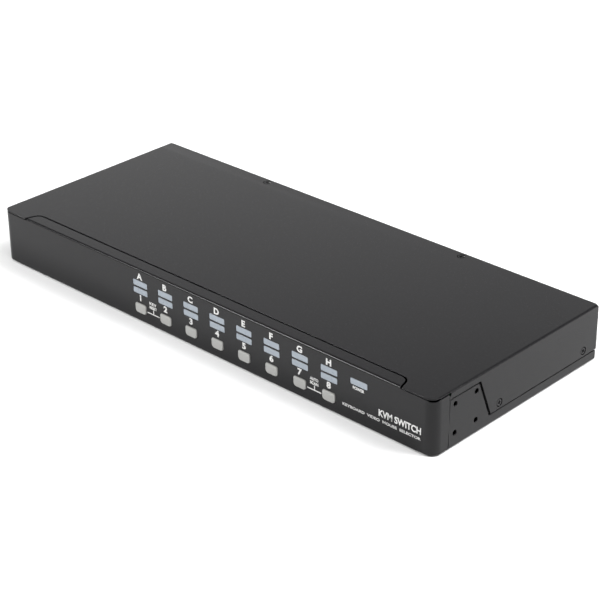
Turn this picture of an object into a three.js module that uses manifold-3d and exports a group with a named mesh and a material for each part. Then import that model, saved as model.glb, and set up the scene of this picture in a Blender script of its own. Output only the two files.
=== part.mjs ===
// A rack-height KVM switch: a flat black steel case with push buttons and light windows in front
// and two rows of D-sub ports behind. It is built as separate named pieces.
//
// Millimetres, +Z up, the front faces -Y. The origin is under the middle of the whole object, on
// the surface that it stands on. The pieces are drawn in the case's own frame, where y is the
// distance behind the front face, and one group moves them all to the origin.

import * as THREE from "three";
import { mergeVertices } from "three/addons/utils/BufferGeometryUtils.js";
import Module from "manifold-3d";

const wasm = await Module();
wasm.setup();

// ---- driving dimensions ----

const WIDTH = 440;
const DEPTH = 180;
const HEIGHT = 43.6;
const SHEET = 1.0; // thickness of every bent steel sheet
const GAP = 0.3; // clearance between neighbouring sheets
const BEND_R = 1.6; // outer radius of the sharp folds
const CORNER_R = 8; // upright front corners

// Front panel: a wall that wraps round both corners, with a flange folded back on top and below
const WRAP = 15.8; // how far it reaches along each side
const FLANGE_HALF = 190.9;
const FLANGE_TAPER = 2.6; // how much shorter each end is at the flange's rear
const FLANGE_DEPTH = 10.85;
const FLANGE_R = 6;
const FLANGE_SEAM = 1.3; // open seam between this flange and the cover
const TOP_GAP = 0.5; // between the cover and the front panel's upper edge beside the flange
const FOOT_HALF = 205;
const FOOT_DEPTH = 10;
const TONGUE = { inset: 5, front: 3 }; // strip of the floor that lies on the lower flange
const CORNER_RELIEF = { deep: 1.0, inset: 2 }; // open slit under the cover at each round corner

// Small round relief where the front panel, the cover's top sheet and its skirt meet
const RELIEF = { y: WRAP - 0.2, z: 42.4, r: 1.1 };

// Side of the case: a lower ledge and a flap for a rack ear, both flush with the cover's skirt
const LEDGE_TOP = 7.6;
const SCREW_FLANGE = { overlap: 10, rear: DEPTH - 2, r: 3 }; // inside the skirt, behind the flap
const LEDGE_GAP = 0.6; // between the ledge and the skirt above it
const FLAP_TOP = 37.5;
const FLAP_GAP = 0.7; // between the flap and the skirt above it
const FLAP_BACK_TOP_Y = 46.2; // the flap's rear edge slants back towards the bottom
const FLAP_BACK_LOW_Y = 57.9;
const SLOT = 1.8; // width of the slanted slot behind the flap
const EAR_HOLE_Y = 32.8;
const EAR_HOLE_Z = 21.7;
const EAR_HOLE_PITCH = 22;
const EAR_HOLE_R = 1.9;

// Screws that hold the cover
const SIDE_SCREW_Y = { front: 69, rear: 164.4 };
const SIDE_SCREW_Z = 12.8;
const TOP_SCREW_X = 100.4;
const TOP_SCREW_Y = DEPTH - 5.4;
const HEAD_R = 2.75;
const HEAD_GAP = 0.3;
const SHANK_R = 1.4;
const SCREW_LENGTH = 6;
const THREAD_HOLE_R = 1.6;

// Controls, one column for each pair of ports
const COLUMNS = 8;
const COLUMN_X = -60.6;
const COLUMN_PITCH = 26.97;
const WINDOW = { w: 15.1, h: 4.65, r: 0.7 };
const WINDOW_CLEARANCE = 0.1;
const WINDOW_Z = { upper: 31.4, lower: 25.25 };
const BUTTON = { w: 11.6, h: 7.7, r: 2, z: 11.2, proud: 0.8 };
const BUTTON_CLEARANCE = 0.25;
const BUTTON_TRAVEL = 0.8;
const CAP_BACK = SHEET + GAP; // front of the lip that keeps each button behind the panel
const LIP = 1.0;
const STEM = { r: 2.2, end: 5.0 };
const PLUNGER = { r: 1.75, front: STEM.end + 0.1, back: 8.0 };
const SWITCH = { front: 6.4, half: 3, bore: 2, boreEnd: PLUNGER.back + BUTTON_TRAVEL + 0.5 };

// Boards
const BOARD = 1.6;
const FRONT_BOARD_Y = 10.2;
const LAMP = { w: 3.5, h: 2.8, front: 8.3 };
const FRONT_BOARD = { x0: -82, x1: 178, z0: 4.5, z1: 38.5 };
const POST_X = [-77, 173];
const POST_Z = [9, 34];
const POST_R = 2.5;
const MAIN_BOARD_Z = 7;
const MAIN_BOARD = { x0: -208, x1: 214, y0: 62, y1: DEPTH - 4 };
const BOARD_SCREW = { x: 200, y: 70, r: 1.2, tap: 1.5, clear: 1.7 };
const STANDOFF_REAR_Y = 150;
const STANDOFF_R = 2.6;
const CABLE_X = [47, 73];
const HEADER_X = [CABLE_X[0] - 2, CABLE_X[1] + 2];
const HEADER_DEPTH = 5;
const HEADER_Y = 66; // front of the header on the main board
const CHIPS = { x: [-160, -100, -40, 20, 80, 140], w: 14, y: [112, 126], h: 1.6 };
const PROCESSOR = { w: 24, y: [80, 104], h: 2 };
const CAPACITORS = { x: [150, 164, 178], y: 92, r: 4, h: 11 };

// Rear panel and its ports
const REAR_FACE = DEPTH - 0.8; // outer face of the rear panel
const STACKS = 8;
const STACK_X = 48;
const STACK_PITCH = 34;
const PORT_Z = { lower: 16, upper: 31.9 };
const SHELL = { w: 16.4, h: 8.4, r: 2.4, slope: Math.tan(THREE.MathUtils.degToRad(10)) };
const PORT_FLANGE = { w: 30.8, h: 12.5, t: 0.8 };
const HOUSING_DEPTH = 21.4; // of a port's housing, in front of its flange
const SHELL_LENGTH = 5.9; // from the port's flange
const JACK_SPACING = 25;
const JACK_R = 2.7;
const JACK_LENGTH = 4.8;
const CONSOLE_X = 94;
const USB_X = 124;
const CHAIN_X = 158;
const POWER_X = 203;
const USB = { w: 13.1, h: 15.6, mouthW: 12.5, mouthH: 5.1, pitch: 7.4 };
const POWER_JACK = { z: 15.5, ring: 4.6, bore: 3.2, pin: 1 };

const PORT_SEAT_Z = MAIN_BOARD_Z + BOARD + GAP;
const PORT_FLANGE_Y = REAR_FACE - SHEET - GAP;
const REARMOST = REAR_FACE + GAP + JACK_LENGTH;
const FRONT_FACE_Y = -(REARMOST - BUTTON.proud) / 2; // puts the origin under the middle

// ---- materials ----

const finish = (color, roughness, metalness) =>
  new THREE.MeshStandardMaterial({ color, roughness, metalness });
const blackPaint = finish(0x3b3b3d, 0.6, 0.1);
const screwBlack = finish(0x1c1c1e, 0.4, 0.6);
const buttonGrey = finish(0xc4c3be, 0.45, 0);
const windowBlue = finish(0xa9b4c6, 0.25, 0);
const boardGreen = finish(0x14532d, 0.5, 0);
const switchBlack = finish(0x161616, 0.5, 0);
const plungerWhite = finish(0xe6e3da, 0.5, 0);
const portNickel = finish(0xb9bbbd, 0.3, 0.9);
const cableGrey = finish(0x8d9096, 0.6, 0);
const screwZinc = finish(0xc9cbd0, 0.3, 1);

// ---- solids ----

/** A closed geometry as a solid that can be joined and cut. */
function solid(geometry) {
  const bare = geometry.index ? geometry.toNonIndexed() : geometry.clone();
  bare.deleteAttribute("normal");
  bare.deleteAttribute("uv");
  const merged = mergeVertices(bare, 1e-4);
  return new wasm.Manifold(
    new wasm.Mesh({
      numProp: 3,
      vertProperties: merged.attributes.position.array,
      triVerts: new Uint32Array(merged.index.array),
    }),
  );
}

/** A solid as a named mesh. */
function piece(name, body, material) {
  const { vertProperties, triVerts } = body.getMesh();
  const geometry = new THREE.BufferGeometry();
  geometry.setAttribute("position", new THREE.BufferAttribute(vertProperties, 3));
  geometry.setIndex(new THREE.BufferAttribute(triVerts, 1));
  geometry.computeVertexNormals();
  const mesh = new THREE.Mesh(geometry, material);
  mesh.name = name;
  return mesh;
}

const ARC_HANDLE = 1 - 0.5523; // share of a rounded corner's arm at which its curve's handle sits

const union = (...bodies) => bodies.reduce((all, body) => all.add(body));
const cut = (body, ...tools) => tools.reduce((left, tool) => left.subtract(tool), body);

/** A block between two corners. */
function block([x0, x1], [y0, y1], [z0, z1]) {
  const box = new THREE.BoxGeometry(x1 - x0, y1 - y0, z1 - z0);
  return solid(box.translate((x0 + x1) / 2, (y0 + y1) / 2, (z0 + z1) / 2));
}

const extrude = (shape, depth, curveSegments) =>
  new THREE.ExtrudeGeometry(shape, { depth, curveSegments, bevelEnabled: false });

/** A shape drawn in X and Y, raised from z0 to z1. */
function prismZ(shape, z0, z1, curveSegments = 4) {
  return solid(extrude(shape, z1 - z0, curveSegments).translate(0, 0, z0));
}

/** A shape drawn in X and Z, running from y0 to y1. */
function prismY(shape, y0, y1, curveSegments = 4) {
  return solid(extrude(shape, y1 - y0, curveSegments).rotateX(Math.PI / 2).translate(0, y1, 0));
}

/** A shape drawn in Y and Z, running from x0 to x1. */
function prismX(shape, x0, x1, curveSegments = 4) {
  const turn = new THREE.Matrix4().makeBasis(
    new THREE.Vector3(0, 1, 0),
    new THREE.Vector3(0, 0, 1),
    new THREE.Vector3(1, 0, 0),
  );
  return solid(extrude(shape, x1 - x0, curveSegments).applyMatrix4(turn).translate(x0, 0, 0));
}

/** A closed outline through the points, its corners rounded by each point's own third number. */
function outline(points) {
  const shape = new THREE.Shape();
  points.forEach(([x, y, r = 0], i) => {
    const here = new THREE.Vector2(x, y);
    const toLast = new THREE.Vector2(...points.at(i - 1)).sub(here).setLength(r);
    const toNext = new THREE.Vector2(...points[(i + 1) % points.length]).sub(here).setLength(r);
    const along = (arm, share) => [x + arm.x * share, y + arm.y * share];
    if (i === 0) shape.moveTo(...along(toLast, 1));
    else shape.lineTo(...along(toLast, 1));
    if (r > 0) {
      shape.bezierCurveTo(...along(toLast, ARC_HANDLE), ...along(toNext, ARC_HANDLE), ...along(toNext, 1));
    }
  });
  shape.closePath();
  return shape;
}

function rectangle(cx, cy, w, h, r = 0) {
  const [x, y] = [w / 2, h / 2];
  const corners = [
    [cx - x, cy - y, r],
    [cx + x, cy - y, r],
    [cx + x, cy + y, r],
    [cx - x, cy + y, r],
  ];
  return outline(corners);
}

/** A regular outline: round enough with many sides, or a hexagon for a nut. */
function round(cx, cy, r, sides) {
  const corners = Array.from({ length: sides }, (_, i) => {
    const turn = (2 * Math.PI * (i + 0.5)) / sides;
    return new THREE.Vector2(cx + r * Math.cos(turn), cy + r * Math.sin(turn));
  });
  return new THREE.Shape(corners);
}

/** The outline of a D-sub shell, wider at the top, grown by `more` all round. */
function dShape(cx, cz, more = 0) {
  const top = SHELL.w / 2 + more;
  const half = SHELL.h / 2 + more;
  const low = top - 2 * half * SHELL.slope;
  const r = SHELL.r + more;
  const corners = [
    [cx - low, cz - half, r],
    [cx + low, cz - half, r],
    [cx + top, cz + half, r],
    [cx - top, cz + half, r],
  ];
  return outline(corners);
}

const mirrored = (body) => union(body, body.mirror([1, 0, 0]));

/** The round bend relief at the top of the seam on each side of the case, as a cutting tool. */
const bendReliefs = () =>
  mirrored(prismX(round(RELIEF.y, RELIEF.z, RELIEF.r, 10), WIDTH / 2 - 2 * SHEET, WIDTH / 2 + 1));

/** What a fold's round leaves away at the corner (x, z), whose outside lies towards (sx, sz). */
function foldWaste(x, z, sx, sz) {
  const arm = BEND_R + 0.1;
  return outline([
    [x + sx, z + sz],
    [x - sx * arm, z + sz],
    [x - sx * arm, z],
    [x, z, BEND_R],
    [x, z - sz * arm],
    [x + sx, z - sz * arm],
  ]);
}

const columnX = (i) => COLUMN_X + i * COLUMN_PITCH;
const stackX = (i) => STACK_X - i * STACK_PITCH;

/** A cone-shaped seat for a flat screw head, from the surface at 0 down to -SHEET, along Y. */
function screwSeat() {
  const [wide, narrow] = [HEAD_R + HEAD_GAP, HEAD_R + HEAD_GAP - SHEET];
  const profile = [
    new THREE.Vector2(0, -SHEET - 0.5),
    new THREE.Vector2(narrow, -SHEET - 0.5),
    new THREE.Vector2(narrow, -SHEET),
    new THREE.Vector2(wide, 0),
    new THREE.Vector2(wide, 0.5),
    new THREE.Vector2(0, 0.5),
  ];
  return new THREE.LatheGeometry(profile, 16);
}

// ---- the case ----

const rearEdgeAt = (z) => {
  const fall = (FLAP_TOP - z) / (FLAP_TOP - LEDGE_TOP);
  return FLAP_BACK_TOP_Y + fall * (FLAP_BACK_LOW_Y - FLAP_BACK_TOP_Y);
};

/** The floor, the flush ledges and rack-ear flaps, and the inner flanges that take the side screws. */
function baseTray() {
  const half = WIDTH / 2;
  const inset = half - SHEET - GAP;
  const sideY = WRAP + GAP;
  const floorFront = FOOT_DEPTH + 1.5;
  const floor = union(
    block([-half, half], [sideY, DEPTH], [0, SHEET]),
    cut(
      prismZ(
        outline([
          [-inset, SHEET + GAP, CORNER_R - SHEET - GAP],
          [inset, SHEET + GAP, CORNER_R - SHEET - GAP],
          [inset, sideY + 1],
          [-inset, sideY + 1],
        ]),
        0,
        SHEET,
      ),
      block([-FOOT_HALF - GAP, FOOT_HALF + GAP], [-1, floorFront], [-1, SHEET + 1]),
    ),
  );
  // a raised tongue that lies on the front panel's lower flange
  const lift = SHEET + GAP;
  const tongueX = [-FOOT_HALF + TONGUE.inset, FOOT_HALF - TONGUE.inset];
  const tongue = union(
    block(tongueX, [TONGUE.front, floorFront + SHEET], [lift, lift + SHEET]),
    block(tongueX, [floorFront, floorFront + SHEET], [0, lift + SHEET]),
  );
  const wall = prismX(
    outline([
      [sideY, 0],
      [DEPTH, 0, 2.5],
      [DEPTH, LEDGE_TOP, 0.5],
      [FLAP_BACK_LOW_Y, LEDGE_TOP, 1],
      [FLAP_BACK_TOP_Y, FLAP_TOP, 1],
      [sideY, FLAP_TOP],
    ]),
    half - SHEET,
    half,
  );
  const flangeX = inset - SHEET;
  const flangeFront = FLAP_BACK_LOW_Y - SCREW_FLANGE.overlap;
  const flange = prismX(
    outline([
      [flangeFront, LEDGE_TOP - SHEET],
      [SCREW_FLANGE.rear, LEDGE_TOP - SHEET],
      [SCREW_FLANGE.rear, FLAP_TOP, SCREW_FLANGE.r],
      [flangeFront, FLAP_TOP, SCREW_FLANGE.r],
    ]),
    flangeX,
    inset,
  );
  const step = block(
    [flangeX, half - SHEET / 2],
    [flangeFront, SCREW_FLANGE.rear],
    [LEDGE_TOP - SHEET, LEDGE_TOP],
  );
  const earHoles = [-1, 1].flatMap((dy) =>
    [-1, 1].map((dz) => {
      const [y, z] = [EAR_HOLE_Y + (dy * EAR_HOLE_PITCH) / 2, EAR_HOLE_Z + (dz * EAR_HOLE_PITCH) / 2];
      return prismX(round(y, z, EAR_HOLE_R, 12), half - 2 * SHEET, half + 1);
    }),
  );
  const screwHoles = Object.values(SIDE_SCREW_Y).map((y) =>
    prismX(round(y, SIDE_SCREW_Z, THREAD_HOLE_R, 10), flangeX - 1, inset + 0.1),
  );
  const side = cut(union(wall, flange, step), ...earHoles, ...screwHoles);
  const post = (x, y, r, z0, z1) => prismZ(round(x, y, r, 10), z0, z1);
  const standoffs = [-1, 0, 1].flatMap((place) =>
    [BOARD_SCREW.y, STANDOFF_REAR_Y].map((y) =>
      post(place * BOARD_SCREW.x, y, STANDOFF_R, SHEET / 2, MAIN_BOARD_Z - GAP),
    ),
  );
  const taps = [-1, 1].map((place) =>
    post(place * BOARD_SCREW.x, BOARD_SCREW.y, BOARD_SCREW.tap, SHEET + 0.5, MAIN_BOARD_Z),
  );
  const folds = mirrored(prismY(foldWaste(half, 0, 1, -1), sideY - 0.1, DEPTH + 1));
  const body = cut(union(floor, tongue, mirrored(side), ...standoffs), folds, ...taps);
  return piece("base_tray", body, blackPaint);
}

/** The lid: a top sheet notched for the front panel's flange, and two skirts cut round the flaps. */
function topCover() {
  const half = WIDTH / 2;
  const notch = FLANGE_HALF + FLANGE_SEAM;
  const notchY = FLANGE_DEPTH + FLANGE_SEAM;
  const sheet = prismZ(
    outline([
      [-half, 0, CORNER_R],
      [-notch, 0],
      [-notch + FLANGE_TAPER, notchY, FLANGE_R + FLANGE_SEAM],
      [notch - FLANGE_TAPER, notchY, FLANGE_R + FLANGE_SEAM],
      [notch, 0],
      [half, 0, CORNER_R],
      [half, DEPTH],
      [-half, DEPTH],
    ]),
    HEIGHT - SHEET,
    HEIGHT,
  );
  const skirtY = WRAP + GAP;
  const band = FLAP_TOP + FLAP_GAP;
  const low = LEDGE_TOP + LEDGE_GAP;
  const skirt = prismX(
    outline([
      [skirtY, band],
      [rearEdgeAt(band) + SLOT, band],
      [rearEdgeAt(low) + SLOT, low, 1],
      [DEPTH, low, 0.5],
      [DEPTH, HEIGHT - SHEET / 2, 2],
      [skirtY, HEIGHT - SHEET / 2],
    ]),
    half - SHEET,
    half,
  );
  const sideSeats = Object.values(SIDE_SCREW_Y).map((y) =>
    solid(screwSeat().rotateZ(-Math.PI / 2).translate(half, y, SIDE_SCREW_Z)),
  );
  const topSeats = [-1, 1].map((side) =>
    solid(screwSeat().rotateX(Math.PI / 2).translate(side * TOP_SCREW_X, TOP_SCREW_Y, HEIGHT)),
  );
  const folds = mirrored(prismY(foldWaste(half, HEIGHT, 1, 1), WRAP, DEPTH + 1));
  const body = cut(union(sheet, mirrored(cut(skirt, ...sideSeats))), folds, bendReliefs(), ...topSeats);
  return piece("top_cover", body, blackPaint);
}

/** The front wall with its openings, folded flanges and the posts for the front board. */
function frontPanel() {
  const half = WIDTH / 2;
  const wallTop = HEIGHT - SHEET - TOP_GAP;
  const inner = CORNER_R - SHEET;
  const band = prismZ(
    outline([
      [-half, WRAP],
      [-half, 0, CORNER_R],
      [half, 0, CORNER_R],
      [half, WRAP],
      [half - SHEET, WRAP],
      [half - SHEET, SHEET, inner],
      [-half + SHEET, SHEET, inner],
      [-half + SHEET, WRAP],
    ]),
    SHEET,
    wallTop,
    6,
  );
  const straightX = half - CORNER_R - 1;
  const { deep, inset } = CORNER_RELIEF;
  const cornerReliefs = mirrored(
    block([half - CORNER_R + inset, half + 1], [-1, CORNER_R - inset / 2], [wallTop - deep, HEIGHT]),
  );
  const wall = union(
    block([-FLANGE_HALF, FLANGE_HALF], [0, SHEET], [wallTop - 1, HEIGHT]),
    block([-straightX, straightX], [0, SHEET], [0, SHEET + 1]),
  );
  const topFlange = prismZ(
    outline([
      [-FLANGE_HALF, 0],
      [FLANGE_HALF, 0],
      [FLANGE_HALF - FLANGE_TAPER, FLANGE_DEPTH, FLANGE_R],
      [-FLANGE_HALF + FLANGE_TAPER, FLANGE_DEPTH, FLANGE_R],
    ]),
    HEIGHT - SHEET,
    HEIGHT,
  );
  const lowFlange = block([-FOOT_HALF, FOOT_HALF], [0, FOOT_DEPTH], [0, SHEET]);
  const posts = POST_X.flatMap((x) =>
    POST_Z.map((z) => prismY(round(x, z, POST_R, 10), SHEET / 2, FRONT_BOARD_Y - GAP)),
  );
  const windows = [];
  for (let i = 0; i <= COLUMNS; i++) {
    const levels = i < COLUMNS ? Object.values(WINDOW_Z) : [WINDOW_Z.upper];
    const [w, h] = [WINDOW.w + 2 * WINDOW_CLEARANCE, WINDOW.h + 2 * WINDOW_CLEARANCE];
    for (const z of levels) windows.push(rectangle(columnX(i), z, w, h, WINDOW.r + WINDOW_CLEARANCE));
  }
  const buttonHoles = [];
  for (let i = 0; i < COLUMNS; i++) {
    const [w, h] = [BUTTON.w + 2 * BUTTON_CLEARANCE, BUTTON.h + 2 * BUTTON_CLEARANCE];
    buttonHoles.push(rectangle(columnX(i), BUTTON.z, w, h, BUTTON.r + BUTTON_CLEARANCE));
  }
  const openings = [...windows, ...buttonHoles].map((shape) => prismY(shape, -1, SHEET + 0.2, 2));
  const folds = [
    prismX(foldWaste(0, HEIGHT, -1, 1), -FLANGE_HALF - 0.1, FLANGE_HALF + 0.1),
    prismX(foldWaste(0, 0, -1, -1), -FOOT_HALF - 0.1, FOOT_HALF + 0.1),
  ];
  const corners = cut(band, cornerReliefs, bendReliefs());
  const body = cut(union(corners, wall, topFlange, lowFlange, ...posts), ...openings, ...folds);
  return piece("front_panel", body, blackPaint);
}

/** The rear wall, cut for every port, with a flange for the cover's screws and one for the floor. */
function rearPanel() {
  const half = WIDTH / 2 - 3 * SHEET;
  const inner = REAR_FACE - SHEET;
  const bottom = SHEET + GAP;
  const top = HEIGHT - SHEET - GAP;
  const wall = block([-half, half], [inner, REAR_FACE], [bottom, top]);
  const topFlange = block([-half, half], [DEPTH - 12, REAR_FACE], [top - SHEET, top]);
  const lowFlange = block([-half, half], [DEPTH - 10, REAR_FACE], [bottom, bottom + SHEET]);
  const through = (shape) => prismY(shape, inner - 1, REAR_FACE + 1, 2);
  const portHoles = (x, z) => [
    through(dShape(x, z, 0.4)),
    ...[-1, 1].map((s) => through(round(x + (s * JACK_SPACING) / 2, z, SHANK_R + 0.4, 6))),
  ];
  const stacks = Array.from({ length: STACKS }, (_, i) =>
    Object.values(PORT_Z).flatMap((z) => portHoles(stackX(i), z)),
  );
  const singles = [CONSOLE_X, CHAIN_X].flatMap((x) => portHoles(x, PORT_Z.lower));
  const usb = through(rectangle(USB_X, PORT_SEAT_Z + USB.h / 2, USB.w + 0.8, USB.h + 0.8));
  const power = through(round(POWER_X, POWER_JACK.z, POWER_JACK.ring + 0.4, 24));
  const screws = [-1, 1].map((s) =>
    prismZ(round(s * TOP_SCREW_X, TOP_SCREW_Y, THREAD_HOLE_R, 10), top - 2 * SHEET, top + 1),
  );
  const body = cut(union(wall, topFlange, lowFlange), ...stacks.flat(), ...singles, usb, power, ...screws);
  return piece("rear_panel", body, blackPaint);
}

// ---- fasteners ----

/** A flat-headed screw that stands along +Y, its head's face at 0 and its shank below. */
function flatScrew(name) {
  const cone = HEAD_R - SHANK_R;
  const profile = [
    new THREE.Vector2(0, -SCREW_LENGTH),
    new THREE.Vector2(SHANK_R, -SCREW_LENGTH),
    new THREE.Vector2(SHANK_R, -cone),
    new THREE.Vector2(HEAD_R, 0),
    new THREE.Vector2(0, 0),
  ];
  const slot = { long: 1.5, wide: 0.35, deep: 0.9 };
  const arm = block([-slot.long, slot.long], [-slot.deep, 1], [-slot.wide, slot.wide]);
  const cross = block([-slot.wide, slot.wide], [-slot.deep, 1], [-slot.long, slot.long]);
  return piece(name, cut(solid(new THREE.LatheGeometry(profile, 16)), arm, cross), screwBlack);
}

function coverScrews() {
  const screws = [];
  for (const [side, sign] of [["left", -1], ["right", 1]]) {
    for (const [place, y] of Object.entries(SIDE_SCREW_Y)) {
      const screw = flatScrew(`side_screw_${side}_${place}`);
      screw.position.set((sign * WIDTH) / 2, y, SIDE_SCREW_Z);
      screw.rotation.z = (-sign * Math.PI) / 2;
      screws.push(screw);
    }
    const screw = flatScrew(`top_screw_${side}`);
    screw.position.set(sign * TOP_SCREW_X, TOP_SCREW_Y, HEIGHT);
    screw.rotation.x = Math.PI / 2;
    screws.push(screw);
  }
  return screws;
}

/** Pan-headed screws that hold the main board's front edge to two of the tray's standoffs. */
function boardScrews() {
  return [["left", -1], ["right", 1]].map(([side, sign]) => {
    const head = MAIN_BOARD_Z + BOARD + GAP;
    const profile = [
      new THREE.Vector2(0, 3),
      new THREE.Vector2(BOARD_SCREW.r, 3),
      new THREE.Vector2(BOARD_SCREW.r, head),
      new THREE.Vector2(2.8, head),
      new THREE.Vector2(2.8, head + 1),
      new THREE.Vector2(1.8, head + 1.9),
      new THREE.Vector2(0, head + 2),
    ];
    const screw = piece(`board_screw_${side}`, solid(new THREE.LatheGeometry(profile, 12)), screwZinc);
    screw.position.set(sign * BOARD_SCREW.x, BOARD_SCREW.y, 0);
    screw.rotation.x = Math.PI / 2;
    return screw;
  });
}

// ---- controls ----

/** A milky key with a lip behind the panel and a stem that reaches its switch. */
function button(i) {
  const cap = prismY(rectangle(0, 0, BUTTON.w, BUTTON.h, BUTTON.r), -BUTTON.proud, CAP_BACK + LIP / 2, 3);
  const lip = prismY(rectangle(0, 0, BUTTON.w + 2, BUTTON.h + 2), CAP_BACK, CAP_BACK + LIP);
  const stem = prismY(round(0, 0, STEM.r, 10), CAP_BACK + LIP / 2, STEM.end);
  const mesh = piece(`button_${i + 1}`, union(cap, lip, stem), buttonGrey);
  mesh.position.set(columnX(i), 0, BUTTON.z);
  return mesh;
}

/** The moving plunger of one tactile switch. */
function switchPlunger(i) {
  const rod = prismY(round(0, 0, PLUNGER.r, 12), PLUNGER.front, PLUNGER.back);
  const mesh = piece(`switch_plunger_${i + 1}`, rod, plungerWhite);
  mesh.position.set(columnX(i), 0, BUTTON.z);
  return mesh;
}

/** The housing of one tactile switch, open in front for its plunger. */
function switchBody(i) {
  const { front, half, bore, boreEnd } = SWITCH;
  const housing = cut(
    block([-half, half], [front, FRONT_BOARD_Y - GAP], [-half, half]),
    prismY(round(0, 0, bore, 12), front - 1, boreEnd),
  );
  const mesh = piece(`switch_body_${i + 1}`, housing, switchBlack);
  mesh.position.set(columnX(i), 0, BUTTON.z);
  return mesh;
}

/** A clear moulding: its bars fill the panel's windows, its stems carry the light from the board. */
function lightGuide(name, i, levels) {
  const [w, h] = [WINDOW.w / 2, WINDOW.h / 2];
  const [top, low] = [Math.max(...levels) + h + 1, Math.min(...levels) - h - 1];
  const plate = block([-w - 1.2, w + 1.2], [CAP_BACK, CAP_BACK + LIP], [low, top]);
  const inside = CAP_BACK + LIP / 2;
  const bars = levels.map((z) => prismY(rectangle(0, z, WINDOW.w, WINDOW.h, WINDOW.r), 0.05, inside, 2));
  const stems = levels.map((z) => block([-4, 4], [inside, LAMP.front - GAP], [z - 1.5, z + 1.5]));
  const mesh = piece(name, union(plate, ...bars, ...stems), windowBlue);
  mesh.position.x = columnX(i);
  return mesh;
}

/** The board behind the panel, with a lamp for each window and the cable's header soldered on. */
function frontBoard() {
  const { x0, x1, z0, z1 } = FRONT_BOARD;
  const back = FRONT_BOARD_Y + BOARD;
  const sheet = block([x0, x1], [FRONT_BOARD_Y, back], [z0, z1]);
  const lamps = [];
  for (let i = 0; i <= COLUMNS; i++) {
    const levels = i < COLUMNS ? Object.values(WINDOW_Z) : [WINDOW_Z.upper];
    for (const z of levels) {
      const [x, w, h] = [columnX(i), LAMP.w / 2, LAMP.h / 2];
      lamps.push(block([x - w, x + w], [LAMP.front, FRONT_BOARD_Y + 0.2], [z - h, z + h]));
    }
  }
  const header = block(HEADER_X, [back - 0.2, back + HEADER_DEPTH], [8, 14]);
  return piece("front_board", union(sheet, header, ...lamps), boardGreen);
}

// ---- main board, cable and ports ----

/** The main board with its chips, capacitors and cable header soldered on. */
function mainBoard() {
  const { x0, x1, y0, y1 } = MAIN_BOARD;
  const top = MAIN_BOARD_Z + BOARD;
  const seat = top - 0.2; // soldered parts start just inside the board
  const chips = CHIPS.x.map((x) =>
    block([x - CHIPS.w / 2, x + CHIPS.w / 2], CHIPS.y, [seat, top + CHIPS.h]),
  );
  const processor = block([-PROCESSOR.w / 2, PROCESSOR.w / 2], PROCESSOR.y, [seat, top + PROCESSOR.h]);
  const capacitors = CAPACITORS.x.map((x) =>
    prismZ(round(x, CAPACITORS.y, CAPACITORS.r, 12), seat, top + CAPACITORS.h),
  );
  const header = block(HEADER_X, [HEADER_Y, HEADER_Y + 6], [seat, top + 6]);
  const holes = [-1, 1].map((s) =>
    prismZ(round(s * BOARD_SCREW.x, BOARD_SCREW.y, BOARD_SCREW.clear, 10), MAIN_BOARD_Z - 1, top + 1),
  );
  const sheet = cut(block([x0, x1], [y0, y1], [MAIN_BOARD_Z, top]), ...holes);
  return piece("main_board", union(sheet, processor, header, ...chips, ...capacitors), boardGreen);
}

/** The flat cable between the two boards, in a low arch. */
function flatCable() {
  const arch = new THREE.CatmullRomCurve3([
    new THREE.Vector3(FRONT_BOARD_Y + BOARD + HEADER_DEPTH + GAP, 11, 0),
    new THREE.Vector3(24, 12.5, 0),
    new THREE.Vector3(34, 17, 0),
    new THREE.Vector3(50, 17.5, 0),
    new THREE.Vector3(60, 13.5, 0),
    new THREE.Vector3(HEADER_Y - GAP, 12, 0),
  ]);
  const steps = 16;
  const thick = 0.5;
  const above = [];
  const below = [];
  for (let i = 0; i <= steps; i++) {
    const at = arch.getPointAt(i / steps);
    const along = arch.getTangentAt(i / steps);
    above.push([at.x - along.y * thick, at.y + along.x * thick]);
    below.push([at.x + along.y * thick, at.y - along.x * thick]);
  }
  const section = new THREE.Shape([...below, ...above.reverse()].map(([y, z]) => new THREE.Vector2(y, z)));
  return piece("front_flat_cable", prismX(section, ...CABLE_X), cableGrey);
}

/** One D-sub port around x = 0: flange, shell and the two hex jack nuts outside the panel. */
function portFace(z) {
  const { w, h, t } = PORT_FLANGE;
  const shell = prismY(dShape(0, z), PORT_FLANGE_Y - t / 2, PORT_FLANGE_Y + SHELL_LENGTH, 2);
  const flange = block([-w / 2, w / 2], [PORT_FLANGE_Y - t, PORT_FLANGE_Y], [z - h / 2, z + h / 2]);
  const nuts = [-1, 1].map((s) => {
    const x = (s * JACK_SPACING) / 2;
    const shank = prismY(round(x, z, SHANK_R, 6), PORT_FLANGE_Y - t / 2, REAR_FACE + GAP + 1);
    return union(shank, prismY(round(x, z, JACK_R, 6), REAR_FACE + GAP, REARMOST));
  });
  return union(flange, shell, ...nuts);
}

/** A housing on the main board that carries D-sub ports at the given heights. */
function portHousing(name, x, levels) {
  const { w, h, t } = PORT_FLANGE;
  const top = Math.max(...levels) + h / 2 - 1;
  const [back, front] = [PORT_FLANGE_Y - t - HOUSING_DEPTH, PORT_FLANGE_Y - t / 2];
  const housing = block([-w / 2 + 1, w / 2 - 1], [back, front], [PORT_SEAT_Z, top]);
  const mesh = piece(name, union(housing, ...levels.map(portFace)), portNickel);
  mesh.position.x = x;
  return mesh;
}

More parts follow.
